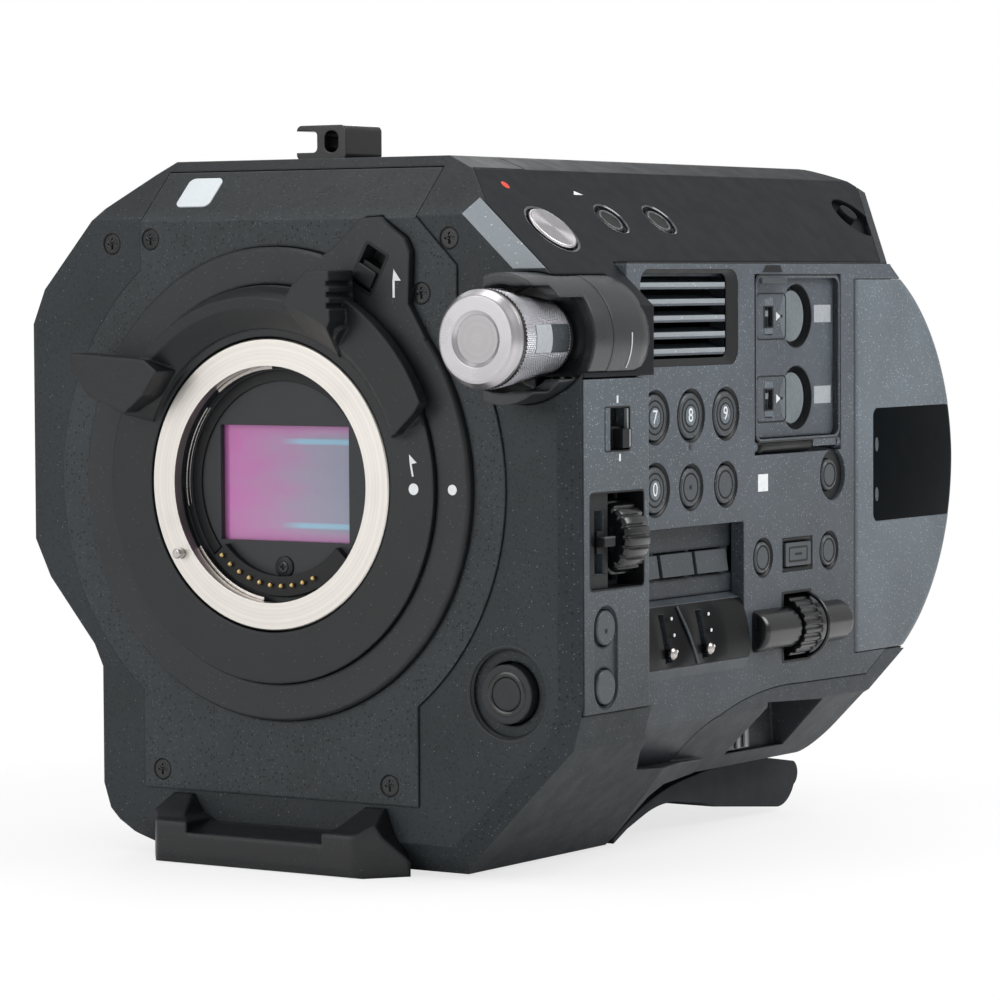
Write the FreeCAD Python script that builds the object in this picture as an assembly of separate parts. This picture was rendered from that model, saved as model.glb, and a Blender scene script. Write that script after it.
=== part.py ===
import FreeCAD, Part
import math
import os

# Digital cinema camera body, in millimetres.
# The origin is the centre of the lens mount flange, on the optical axis.
# +Y runs from the flange into the body, +X to the control side, +Z up.

V = FreeCAD.Vector
OUT = "parts"

# Clearances
GAP = 0.3
SEAM = 0.2
SEAT = 0.1
RUN_FIT = 0.05

# Lens mount
THROAT_R = 23.05
FLANGE_R = 28.5
FLANGE_T = 2.2
LOCK_RING_R = 38.7
LOCK_RING_T = 2.9
HOUSING_R = 46.1
HOUSING_Y = 1.0
HOUSING_EDGE = 0.5
CONTACT_Y = 5.2
LOCK_PIN_X = -21.5
LOCK_PIN_Z = -14.0
LOCK_PIN_R = 1.0
LOCK_PIN_OUT = 1.8
CONTACT_PINS = 10
CONTACT_R = 19.5

# Imaging window and sensor
WINDOW_W = 31.4
WINDOW_H = 23.0
GLASS_T = 1.0
SENSOR_Y = 18.0
SENSOR_BOARD_T = 1.6

# Front plate and casing
PLATE_Y = 2.6
FACE_Y = 3.0
PLATE_R = 53.2
PLATE_HALF_W = 33.0
PLATE_LOW_Z = -61.1
BEVEL_Z = 51.7
STRIP_DROP = 1.9
WALL_Y = 6.5
WALL_T = 3.0
CASING_END_Y = 30.8
SHELL_T = 2.6
EDGE_IN = 4.2
EDGE_DEEP = 2.6

# Overall limits of the body
TOP_Z = 63.4
BASE_Z = -74.0
BELLY_Z = -61.0
REAR_Y = 169.0
TAIL_Y = 127.0
TAIL_Z = -48.1
TAIL_R = 6.0
SIDE_X = 68.7
FOLD_Z = -47.5
PANEL_X = 62.5
LEFT_X = -58.0
BULGE_X = -61.4
SLOPE_TOP_X = 39.8
SLOPE_TOP_Z = 60.8
SLOPE_LOW_X = 59.5
SLOPE_LOW_Z = 42.8
TOP_HALF_X = 33.0
REAR_TOP_R = 18.0
REAR_LOW = [(REAR_Y, -24.0), (146.9, -38.6)]
CORNER_Y = 142.0
FACET_SUM = 115.0
FACET_ROUND = 6.0
SKIRT_X = 46.0
BASE_END_Y = 57.3
TOE_TOP = [(CASING_END_Y - 1.0, -46.0), (34.4, -51.8), (39.8, -56.0)]
RIDGE = [(51.4, -56.9), (54.1, -64.6), (57.3, -73.0)]

# Control panel
PANEL_T = 3.0
PANEL_FRONT_Y = 31.2
PANEL_TOP_Z = 42.5
DOOR_SEAM_Y = 122.5
DOOR_DROP = 3.3
DOOR_HALF_Z = PANEL_TOP_Z - DOOR_DROP
DOOR_EDGE_R = 3.0
DOOR_TOP_Y = 139.2
PANEL_CORNER_Y = 137.6
PANEL_END_Y = 142.2
PANEL_FOOT = [(135.8, -DOOR_HALF_Z - SEAM), (127.0, -44.0)]
DOOR_BACK = ((159.4, 27.0), (168.6, 2.0))
DOOR_UNDER = ((164.6, -18.6), (145.8, -40.0))

# Filter dial, gears and filter wheel
DIAL_X = 58.0
DIAL_Z = 28.6
DIAL_FRONT_Y = -13.6
DIAL_R = 9.2
DIAL_TAIL_R = 7.0
DIAL_TAIL_Y = 8.2
DIAL_CHAMFER = 1.0
COWL_R = 12.3
COWL_T = 2.2
COWL_FRONT_Y = -6.0
COWL_BACK_Y = 10.5
COWL_BACK_T = 1.4
CAP_END_Y = 24.0
CAP_ROUND = 6.5
SHAFT_R = 3.0
TOOTH_MODULE = 0.8
DIAL_TEETH = 20
IDLER_TEETH = 49
GEAR_Y = 13.2
GEAR_T = 2.0
FILTER_OFFSET = 22.0
FILTER_R = 14.0
FILTER_WHEEL_R = 36.5
FILTER_WHEEL_Y = 10.4
FILTER_WHEEL_T = 1.6
FILTERS = 4
AXLE_R = 2.5

# Front side cover and its controls
COVER_T = 3.3
COVER_TOP_Z = 21.2
COVER_LOW_Z = -42.0
COVER_END_Y = 29.6
THUMB_R = 8.0
THUMB_W = 9.0
THUMB_Y = 17.6
THUMB_Z = -9.6
THUMB_OUT = 3.2
THUMB_RIBS = 26
WHEEL_AXLE_R = 1.5

# Select wheel on the panel
SELECT_R = 6.2
SELECT_W = 7.0
SELECT_Y = 97.3
SELECT_Z = -31.8
SELECT_OUT = 4.4
SELECT_RIBS = 22
SELECT_SIDE = 2.6
GUARD_END = 18.2

# Shoulder pad
PAD_FRONT_Y = 58.7
PAD_REAR_Y = 133.9
PAD_HALF_X = 42.0
PAD_TOP_Z = -62.2
PAD_LOW_Z = -73.5
PAD_TIP_Z = -73.1
PAD_ARCH_Z = -67.9
RAIL_HALF_X = 15.0
RAIL_NECK_X = 11.5
RAIL_NECK_T = 3.4
RAIL_T = 1.8
RAIL_FRONT_Y = 84.0
RAIL_REAR_Y = 104.0

# Battery bay and rear
BAY_X = -34.0
BAY_W = 43.0
BAY_LOW_Z = -26.0
BAY_H = 72.0
BAY_DEPTH = 30.0
BAY_WALL = 2.0

# Threads, as the radius of the plain hole
QUARTER_INCH_R = 2.55
THREE_EIGHTHS_R = 3.97
M6_R = 2.5

# Travels of the controls, for the joints of the record
BUTTON_TRAVEL = 0.8
SLIDER_TRAVEL = 2.8
PRESET_TRAVEL = 3.4
SELECTOR_TRAVEL = 3.4
LEVER_TRAVEL = 5.4
AUDIO_SWITCH_TRAVEL = 2.0
LATCH_TRAVEL = 4.0
PAD_TRAVEL = 15.0

# Foot under the front plate
FOOT_LOW_Z = -74.6
FOOT_FRONT_Y = -6.0
FOOT_HALF_FRONT = 23.8
FOOT_HALF_BACK = 31.0
FOOT_TOP_Z = -61.8
FOOT_EDGE_R = 1.6

# Screws, tally window and release tab of the front
CASING_SCREWS = ((-40.6, 47.0), (40.6, 47.4))
PLATE_SCREWS = ((-30.6, 47.8), (34.4, 37.0), (-28.7, -57.4), (26.4, -57.4))
SCREW_R = 1.9
SCREW_SHANK_R = 1.0
SCREW_LONG = 5.0
TALLY_X = -26.6
TALLY_W = 8.2
TALLY_LOW = 4.0
TALLY_H = 8.0
TALLY_T = 1.6
TAB_OUTLINE = (
    (12.0, 44.0),
    (14.8, 45.6),
    (21.6, 51.4),
    (25.4, 51.6),
    (31.6, 47.4),
    (32.8, 44.8),
    (32.4, 35.0),
    (36.4, 28.4),
    (20.0, 20.0),
)
SLIDER_ANGLE = 60.7
SLIDER_FROM = 43.8
SLIDER_TO = 52.0
SLIDER_W = 5.2
SLIDER_L = 4.6
SLIDER_OUT = 0.6

# Sections of the lens lock ring, as (radius, y), and its outlines, as (x, z)
RIDGE_SECTION = (
    (30.3, 0.5),
    (30.3, -0.5),
    (34.4, -5.2),
    (36.4, -5.6),
    (37.4, -3.4),
    (38.4, -0.2),
    (38.4, 0.5),
)
ARM_SECTION = (
    (31.0, 0.5),
    (31.0, -0.6),
    (33.0, -3.0),
    (41.4, -3.4),
    (41.4, -0.8),
    (38.4, -0.3),
    (38.4, 0.5),
)
GRIP_SECTION = (
    (30.3, 0.5),
    (30.3, -0.5),
    (36.6, -8.6),
    (47.5, -8.6),
    (47.5, -0.8),
    (38.4, -0.3),
    (38.4, 0.5),
)
GRIP_OUTLINE = (
    (9.6, 34.8),
    (12.2, 38.6),
    (15.6, 41.4),
    (20.8, 41.4),
    (21.0, 32.0),
    (17.0, 24.0),
    (11.0, 27.5),
)
TAB_PLATE = (
    (-43.2, 25.4),
    (-24.8, 24.2),
    (-21.6, 22.0),
    (-25.2, 17.2),
    (-29.6, 13.8),
    (-38.8, 17.0),
    (-42.6, 21.4),
)
GRIP_RIBS = 3
RIB_PITCH = 2.1

# Buttons of the shoulder and the front
REC_Y = 20.4
REC_X = 52.6
REC_R = 5.5
REC_FOOT = 0.7
ROUND_X = 50.2
ROUND_R = 3.3
HOLD_Y = 45.6
AUTO_Y = 63.7
WB_X = 53.4
WB_Z = -38.4
WB_R = 5.6

# Controls of the front side cover
PRESET_Y = 17.8
PRESET_Z = 11.3
PRESET_HALF_Y = 4.4
PRESET_HALF_Z = 4.1
IRIS_Y = 13.4
IRIS_Z = -26.0
PUSH_Z = -37.2
IRIS_R = 3.3
ROUND_BACK_X = SIDE_X - COVER_T + SEAT + BUTTON_TRAVEL
SELECTOR_Y = 12.9
SELECTOR_Z = -9.9
SELECTOR_STEM = 1.3
SELECTOR_HALF_Y = 3.0
SELECTOR_HALF_Z = 2.2
THUMB_WELL = 7.0
WELL_Y0 = 7.8
WELL_Y1 = 27.4
WELL_Z0 = -19.0
WELL_Z1 = -0.4
WELL_WALL = 1.0

# Controls of the panel
ROW_ONE_Z = 12.6
ROW_TWO_Z = -1.5
COLUMN_Y = (41.7, 55.2, 68.7)
BIG_BUTTON_R = 4.5
SMALL_BUTTON_R = 3.8
SLOT_Y = 111.4
SLOT_Z = -1.3
CANCEL_Y = 83.5
MENU_Y = 97.7
THUMBNAIL_Y = 111.0
MENU_ROW_Z = -17.0
LITTLE_R = 3.2
MENU_HALF_Y = 5.2
MENU_HALF_Z = 2.4
KEY_Y0 = 34.4
KEY_PITCH = 13.3
KEY_W = 12.0
KEY_TOP_Z = -14.6
KEY_H = 4.4
RECESS_Y0 = 33.0
RECESS_Y1 = 75.8
RECESS_TOP_Z = -9.2
RECESS_LOW_Z = -38.6
RECESS_DEEP = 4.2
VENT_Y0 = 36.2
VENT_Y1 = 73.6
VENT_Z0 = 22.4
VENT_Z1 = 41.4
AUDIO_Y0 = 80.2
AUDIO_Y1 = 116.2
AUDIO_Z0 = 3.8
AUDIO_Z1 = 40.4
AUDIO_DEEP = 4.6
AUDIO_DOOR_T = 1.2
AUDIO_DIAL_Y = 98.4
AUDIO_DIAL_Z = (31.8, 15.0)
AUDIO_DIAL_R = 5.2
AUDIO_SWITCH_Y = 88.2
AUDIO_HINGE_R = 1.4
BED_T = 1.5

ROUND_BUTTONS = {
    "button_seven": (COLUMN_Y[0], ROW_ONE_Z, BIG_BUTTON_R),
    "button_eight": (COLUMN_Y[1], ROW_ONE_Z, BIG_BUTTON_R),
    "button_nine": (COLUMN_Y[2], ROW_ONE_Z, BIG_BUTTON_R),
    "button_zero": (COLUMN_Y[0], ROW_TWO_Z, BIG_BUTTON_R),
    "status_button": (COLUMN_Y[1], ROW_TWO_Z, SMALL_BUTTON_R),
    "display_button": (COLUMN_Y[2], ROW_TWO_Z, SMALL_BUTTON_R),
    "slot_select_button": (SLOT_Y, SLOT_Z, LITTLE_R),
    "cancel_button": (CANCEL_Y, MENU_ROW_Z, LITTLE_R),
    "thumbnail_button": (THUMBNAIL_Y, MENU_ROW_Z, LITTLE_R),
}
KEYS = ("gain_button", "balance_button", "shutter_button")


SKIRT_SEAM = [(98.0, -43.6), ((79.0, -44.6), (65.6, -47.6)), ((62.8, -50.0), (62.0, -54.0))]
SKIRT_SEAM_END = 61.8

LEVER_Y = (44.6, 58.8)
LEVER_LOW_Z = -34.9
LEVER_FOOT_H = 3.0
LEVER_END = 0.5
LEVER_HALF_W = 1.0
LEVER_DEEP = 4.0

# Card door and skirt
DOOR_DEEP = 12.0
DOOR_WALL = 2.0
DOOR_PIN_R = 0.6
DOOR_ROUND = 1.4
PANE_T = 0.5
PANE_Y = 130.3
PANE_HALF_Z = 12.0
DOOR_HINGE_X = PANEL_X - DOOR_ROUND
DOOR_HINGE_Y = DOOR_SEAM_Y + DOOR_ROUND
CUT_OUT = [(85.3, -57.8), (85.3, -46.6), (108.8, -47.8), (109.9, -58.0)]
CUT_FLOOR_X = 49.5
FIN_LOW = [(58.3, -73.0), (57.8, -68.4), (58.6, -63.8), (62.4, -61.6), (78.3, -61.2)]
FIN_INNER_X = 40.0

# Rear shell
TOP_THREADS_Y = (58.0, 108.0)
ROSETTE_R = 15.9
ROSETTE_Y = 60.0
ROSETTE_Z = -20.0
INPUT_R = 9.6
INPUT_DEEP = 13.0
INPUT_Y = 112.0
INPUT_Z = (24.0, -4.0)
OUTLET_Y = 52.0
OUTLET_Z = 12.0
OUTLET_SLITS = 6
OUTLET_PITCH = 4.0
OUTLET_L = 34.0
OUTLET_H = 1.6
LATCH_X = 26.0
LATCH_Z = 30.0
LATCH_HALF_X = 5.0
LATCH_HALF_Z = 9.0
LATCH_RIBS = 4
LATCH_RIB_H = 1.2

# Inside
FRAME_Y = 24.0
FRAME_T = 2.0
WALL_X = 28.0
WALL_HALF_Z = 52.0
POST_R = 2.4
FOOT_PLACES_Y = (44.0, 64.0)
SENSOR_BOARD_HALF = (28.0, 24.0)
SENSOR_HALF = (15.0, 9.5)
SENSOR_LIFT = 1.2
BOARD_X = 34.0
BOARD_T = 1.6
BOARD_Y = (38.0, 118.0)
BOARD_HALF_Z = 46.0
BOARD_POSTS_Y = (44.0, 110.0)
POST_HALF_Z = 40.0
CHIP_PLACES = ((50.0, 74.0, -6.0, 18.0, 1.8), (80.0, 94.0, -8.0, 6.0, 1.4), (80.0, 94.0, 12.0, 26.0, 1.4),
               (56.0, 70.0, -34.0, -18.0, 3.0))
CARD_Z = (11.0, -15.0)
CARD_SLOT = 4.5
CARD_DEEP = 15.0
CARD_BLOCK_Y = (124.0, 146.0)
CARD_BLOCK_Z = (-32.0, 34.0)

# Tripod plate and clip
TRIPOD_HALF_X = 24.0
TRIPOD_Y = 12.0
TRIPOD_L = 38.0
TRIPOD_T = 6.6
TRIPOD_QUARTER_Y = 38.0
TRIPOD_EIGHTHS_Y = 22.0
CLIP_X = -11.6
CLIP_Y = 26.0
CLIP_L = 12.4
CLIP_W = 12.0
CLIP_H = 6.9
CLIP_FLOOR = 1.5
CLIP_SLOT = 4.3

# Longer than any piece
BIG = 400.0


def export(name, shape):
    """Write one sub-part."""
    if hasattr(shape, "removeSplitter"):
        shape = shape.removeSplitter()
    shape.exportStep(os.path.join(OUT, name + ".step"))


def box(x0, y0, z0, x1, y1, z1):
    """A box between two corners."""
    size = [abs(b - a) for a, b in ((x0, x1), (y0, y1), (z0, z1))]
    corner = V(min(x0, x1), min(y0, y1), min(z0, z1))
    return Part.makeBox(size[0], size[1], size[2], corner)


def cyl(radius, start, direction, length):
    """A cylinder from a point along a direction."""
    return Part.makeCylinder(radius, length, start, direction)


def cyl_x(radius, x0, x1, y, z):
    """A cylinder along X."""
    return cyl(radius, V(x0, y, z), V(1, 0, 0), x1 - x0)


def cyl_y(radius, y0, y1, x=0.0, z=0.0):
    """A cylinder along Y."""
    return cyl(radius, V(x, y0, z), V(0, 1, 0), y1 - y0)


def cyl_z(radius, z0, z1, x, y):
    """A cylinder along Z."""
    return cyl(radius, V(x, y, z0), V(0, 0, 1), z1 - z0)


def cone_y(r0, r1, y0, y1, x=0.0, z=0.0):
    """A cone along Y."""
    return Part.makeCone(r0, r1, y1 - y0, V(x, y0, z), V(0, 1, 0))


def ring_y(r_out, r_in, y0, y1, x=0.0, z=0.0):
    """A plain ring about an axis along Y."""
    return cyl_y(r_out, y0, y1, x, z).cut(cyl_y(r_in, y0 - 1, y1 + 1, x, z))


def face_of(points):
    """A flat face with straight sides."""
    return Part.Face(Part.makePolygon(list(points) + [points[0]]))


def prism_y(outline, y0, y1):
    """An outline of (x, z) points drawn out along Y."""
    points = [V(x, y0, z) for x, z in outline]
    return face_of(points).extrude(V(0, y1 - y0, 0))


def prism_x(outline, x0, x1):
    """An outline of (y, z) points drawn out along X."""
    points = [V(x0, y, z) for y, z in outline]
    return face_of(points).extrude(V(x1 - x0, 0, 0))


def prism_z(outline, z0, z1):
    """An outline of (x, y) points drawn out along Z."""
    points = [V(x, y, z0) for x, y in outline]
    return face_of(points).extrude(V(0, 0, z1 - z0))


def rounded_x(y0, z0, y1, z1, x0, x1, radius):
    """A block along X with rounded corners."""
    block = box(x0, y0, z0, x1, y1, z1)
    edges = [e for e in block.Edges if abs(e.tangentAt(e.FirstParameter).x) > 0.9]
    return block.makeFillet(radius, edges)


def rounded_y(x0, z0, x1, z1, y0, y1, radius):
    """A block along Y with rounded corners."""
    block = box(x0, y0, z0, x1, y1, z1)
    edges = [e for e in block.Edges if abs(e.tangentAt(e.FirstParameter).y) > 0.9]
    return block.makeFillet(radius, edges)


def loft_y(inner, outer, y0, y1):
    """A straight-sided solid between two outlines with as many points."""
    wires = []
    for outline, y in ((inner, y0), (outer, y1)):
        points = [V(x, y, z) for x, z in outline]
        wires.append(Part.makePolygon(points + [points[0]]))
    return Part.makeLoft(wires, True, True)


def arc_face_x(edges_yz, x):
    """A face in a plane of constant X from a mixed list of points and arcs.

    Each entry is a (y, z) corner, or ((y, z), (y, z)) for an arc through the
    first point that ends at the second.
    """
    edges = []
    last = V(x, *edges_yz[0])
    first = last
    for item in edges_yz[1:]:
        if isinstance(item[0], tuple):
            middle = V(x, *item[0])
            end = V(x, *item[1])
            edges.append(Part.Arc(last, middle, end).toShape())
        else:
            end = V(x, *item)
            edges.append(Part.LineSegment(last, end).toShape())
        last = end
    edges.append(Part.LineSegment(last, first).toShape())
    return Part.Face(Part.Wire(edges))


def polar(radius, degrees, x=0.0, z=0.0):
    """A point (x, z) at an angle from +X towards +Z."""
    a = math.radians(degrees)
    return (x + radius * math.cos(a), z + radius * math.sin(a))


def sector_y(r_out, r_in, a0, a1, y0, y1, x=0.0, z=0.0):
    """Part of a ring between two angles, in degrees from +X towards +Z."""
    reach = 2 * r_out
    middle = (a0 + a1) / 2
    fan = [(x, z)]
    for a in (a0, (a0 + middle) / 2, middle, (middle + a1) / 2, a1):
        fan.append(polar(reach, a, x, z))
    return ring_y(r_out, r_in, y0, y1, x, z).common(prism_y(fan, y0, y1))


def gear_y(teeth, y0, y1, x, z, phase):
    """A spur gear with a tooth centred at the phase angle."""
    pitch_r = teeth * TOOTH_MODULE / 2
    tip = pitch_r + 0.9 * TOOTH_MODULE
    root = pitch_r - 1.2 * TOOTH_MODULE
    step = 360.0 / teeth
    outline = []
    for n in range(teeth):
        a = phase + n * step
        outline.append(polar(root, a - 0.30 * step, x, z))
        outline.append(polar(tip, a - 0.11 * step, x, z))
        outline.append(polar(tip, a + 0.11 * step, x, z))
        outline.append(polar(root, a + 0.30 * step, x, z))
    return prism_y(outline, y0, y1)


def ribbed_y(radius, y0, y1, x, z, ribs, depth):
    """A wheel about an axis along Y with straight grooves round its rim."""
    wheel = cyl_y(radius, y0, y1, x, z)
    groove_r = depth
    cuts = []
    for n in range(ribs):
        cx, cz = polar(radius + groove_r * 0.35, n * 360.0 / ribs, x, z)
        cuts.append(cyl_y(groove_r, y0 - 1, y1 + 1, cx, cz))
    return wheel.cut(cuts)


# Outlines of the body

def slope_z(x):
    """How high the sloping shoulder is at a place across the body."""
    run = (SLOPE_LOW_Z - SLOPE_TOP_Z) / (SLOPE_LOW_X - SLOPE_TOP_X)
    return SLOPE_TOP_Z + (x - SLOPE_TOP_X) * run


def slope_normal():
    """The outward direction of the shoulder."""
    n = V(SLOPE_TOP_Z - SLOPE_LOW_Z, 0, SLOPE_LOW_X - SLOPE_TOP_X)
    n.normalize()
    return n


def shoulder_point(along, lift):
    """A point (x, z) on the shoulder, measured down it and lifted off it."""
    n = slope_normal()
    return (SLOPE_TOP_X + n.z * along + n.x * lift, SLOPE_TOP_Z - n.x * along + n.z * lift)


def outline_right(inset):
    """The control side of the front outline, from top to bottom."""
    side = SIDE_X - inset
    diagonal = FACET_SUM - inset * math.sqrt(2)
    shoulder = slope_normal() * -inset
    high = slope_z(SIDE_X) + shoulder.z
    low_z = BASE_Z + inset
    return [
        (TOP_HALF_X, TOP_Z),
        (SLOPE_TOP_X + shoulder.x, SLOPE_TOP_Z + shoulder.z),
        (side, high + inset * 0.3),
        (side, side - diagonal + FACET_ROUND),
        (side - FACET_ROUND * 0.4, side - diagonal - FACET_ROUND * 0.4),
        (diagonal + low_z, low_z),
    ]


def outline_left():
    """The grip side of the front outline, from bottom to top."""
    return [
        (-31.0, BASE_Z),
        (-38.0, -70.8),
        (-42.6, -66.4),
        (-44.3, -61.4),
        (-44.3, -37.6),
        (-46.4, -33.2),
        (-57.6, -20.0),
        (BULGE_X, -12.4),
        (BULGE_X, 31.0),
        (-58.4, 38.2),
        (-44.2, 54.0),
        (-36.4, SLOPE_TOP_Z),
        (-TOP_HALF_X, TOP_Z),
    ]


def outline_left_inner(inset):
    """The grip side moved inwards."""
    moved = []
    for x, z in outline_left():
        moved.append((x + inset, z + inset if z < -60 else z - inset * 0.6 if z > 36 else z))
    return moved


def bevel_tool(offset=0.0):
    """What lies in front of the bevel along the top of the front."""
    y0 = FACE_Y + offset
    outline = [
        (y0 - 40.0, BEVEL_Z - 40.0),
        (y0 + 60.0, BEVEL_Z + 60.0),
        (y0 - 40.0, BEVEL_Z + 60.0),
    ]
    return prism_x(outline, -BIG / 2, BIG / 2)


def front_block(inset, y0, y1):
    """The front of the body as one closed form."""
    outline = outline_right(inset) + outline_left_inner(inset)
    return prism_y(outline, y0, y1)


def keyhole(radius, half_w, y0, y1):
    """The outline of the plate round the mount, as a solid."""
    disc = cyl_y(radius, y0, y1)
    low = box(-half_w, y0, PLATE_LOW_Z, half_w, y1, 0)
    high = box(-half_w, y0, 0, half_w, y1, TOP_Z)
    ear = prism_y([
        (half_w, BEVEL_Z),
        (42.5, BEVEL_Z - (42.5 - half_w)),
        (42.5, 0.0),
        (0.0, 0.0),
        (0.0, BEVEL_Z),
    ], y0, y1)
    return disc.fuse([low, high, ear])


def tail_arc(inset):
    """The rounding under the tail, as an arc's middle and end."""
    middle = (TAIL_Y - 0.3 * TAIL_R - 0.7 * inset, BELLY_Z + 0.3 * TAIL_R + 0.7 * inset)
    return (middle, (TAIL_Y - TAIL_R, BELLY_Z + inset))


def top_arc(inset):
    """The rounding of the rear top edge, as an arc's middle and end."""
    off = inset + REAR_TOP_R * 0.293
    return ((REAR_Y - off, TOP_Z - off), (REAR_Y - inset, TOP_Z - REAR_TOP_R))


def door_profile(inset=0.0):
    """The rear profile of the control side, as (y, z) corners and arcs."""
    i = inset
    back, back_end = DOOR_BACK
    under, under_end = DOOR_UNDER
    return [
        (PANEL_FRONT_Y, PANEL_TOP_Z - i),
        (DOOR_TOP_Y - i, PANEL_TOP_Z - i),
        ((back[0] - 0.8 * i, back[1] - 0.6 * i), (back_end[0] - i, back_end[1])),
        ((under[0] - 0.9 * i, under[1] + 0.4 * i), (under_end[0] - 0.7 * i, under_end[1] + 0.9 * i)),
        (TAIL_Y - i, TAIL_Z + 0.6 * i),
        (TAIL_Y - i, BELLY_Z + TAIL_R),
        tail_arc(i),
        (PANEL_FRONT_Y, BELLY_Z + i),
    ]


def flank_profile(inset):
    """The rear profile drawn out across the control side."""
    return arc_face_x(door_profile(inset), SKIRT_X - DOOR_EDGE_R).extrude(V(BIG, 0, 0))


def outer_arcs(solid, x):
    """The round edges at the rear of a solid's outer face."""
    y = DOOR_SEAM_Y + DOOR_DEEP / 2
    return [e for e in solid.Edges if e.BoundBox.XMin > x - 0.01 and e.BoundBox.YMin > y
            and e.Curve.TypeId == "Part::GeomCircle"]


def rear_corner(inset, depth=0.0):
    """What lies behind the slanted end of the shoulder."""
    return prism_z([
        (SLOPE_TOP_X - 2.0, REAR_Y + 1.0),
        (SLOPE_TOP_X - 2.0, REAR_Y - inset),
        (SLOPE_TOP_X, REAR_Y - 2.0 - inset * 1.2),
        (SLOPE_LOW_X, CORNER_Y - inset * 1.2),
        (BIG, CORNER_Y - inset * 1.2),
        (BIG, REAR_Y + 1.0),
    ], PANEL_TOP_Z - inset - depth, BIG)


def rear_rounding():
    """What comes off round the rear edge above and below the card door."""
    low = -DOOR_HALF_Z - 0.7
    reach = box(SKIRT_X - DOOR_EDGE_R, DOOR_SEAM_Y + 4.0, low, PANEL_X, BIG, PANEL_TOP_Z)
    block = flank_profile(0.0).common(reach)
    return block.cut(block.makeFillet(DOOR_EDGE_R, outer_arcs(block, PANEL_X)))


def rear_core():
    """The closed form of the body behind the front casing."""
    flank = [
        (TOP_HALF_X, TOP_Z),
        (SLOPE_TOP_X, SLOPE_TOP_Z),
        (SLOPE_LOW_X, SLOPE_LOW_Z),
        (SLOPE_LOW_X, PANEL_TOP_Z),
        (PANEL_X, PANEL_TOP_Z),
        (PANEL_X, FOLD_Z),
        (PANEL_X + BELLY_Z - FOLD_Z, BELLY_Z),
        (-30.0, BELLY_Z),
        (-50.0, -52.0),
        (LEFT_X, -40.0),
        (LEFT_X, 38.0),
        (-42.0, 55.0),
        (-36.0, SLOPE_TOP_Z),
        (-TOP_HALF_X, TOP_Z),
    ]
    body = prism_y(flank, CASING_END_Y + SEAM, REAR_Y)
    side = arc_face_x([
        (0.0, TOP_Z),
        (REAR_Y - REAR_TOP_R, TOP_Z),
        top_arc(0.0),
    ] + REAR_LOW + [
        (TAIL_Y, TAIL_Z),
        (TAIL_Y, BELLY_Z + TAIL_R),
        tail_arc(0.0),
        (0.0, BELLY_Z),
    ], -BIG / 2).extrude(V(BIG, 0, 0))
    body = body.common(side)
    # The shoulder ends in a slanted corner behind the panel.
    body = body.cut(rear_corner(0.0))
    # Beside the panel the rear follows the profile of the card door.
    flank_box = box(SKIRT_X, 0, BELLY_Z - 1, BIG / 2, BIG, PANEL_TOP_Z)
    outer = body.common(flank_box)
    return body.cut(flank_box).fuse(outer.common(flank_profile(0.0))).cut(rear_rounding())


REAR = rear_core()


def inner_rear():
    """The hollow inside the rear of the body."""
    t = SHELL_T
    flank = [
        (TOP_HALF_X, TOP_Z - t),
        (SLOPE_TOP_X - t, SLOPE_TOP_Z - t),
        (SLOPE_LOW_X - t, SLOPE_LOW_Z - t),
        (PANEL_X - PANEL_T, SLOPE_LOW_Z - 2 * t),
        (PANEL_X - PANEL_T, -45.0),
        (PANEL_X - 14.0, BELLY_Z + t),
        (-29.0, BELLY_Z + t),
        (-48.5, -50.0),
        (LEFT_X + t, -39.0),
        (LEFT_X + t, 37.0),
        (-41.0, 53.0),
        (-35.0, SLOPE_TOP_Z - t),
        (-TOP_HALF_X, TOP_Z - t),
    ]
    hollow = prism_y(flank, CASING_END_Y - 10.0, REAR_Y - t)
    hollow = hollow.cut(rear_corner(t))
    side = arc_face_x([
        (0.0, TOP_Z - t),
        (REAR_Y - REAR_TOP_R, TOP_Z - t),
        top_arc(t),
        (REAR_Y - t, -22.0),
        (146.0, -35.0),
        (TAIL_Y - t, TAIL_Z + t),
        (TAIL_Y - t, BELLY_Z + TAIL_R),
        tail_arc(t),
        (0.0, BELLY_Z + t),
    ], -BIG / 2).extrude(V(BIG, 0, 0))
    hollow = hollow.common(side)
    flank_box = box(SKIRT_X - t, 0, BELLY_Z - 1, BIG / 2, BIG, PANEL_TOP_Z - t)
    outer = hollow.common(flank_box)
    return hollow.cut(flank_box).fuse(outer.common(flank_profile(t)))


# Front of the body

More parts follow.
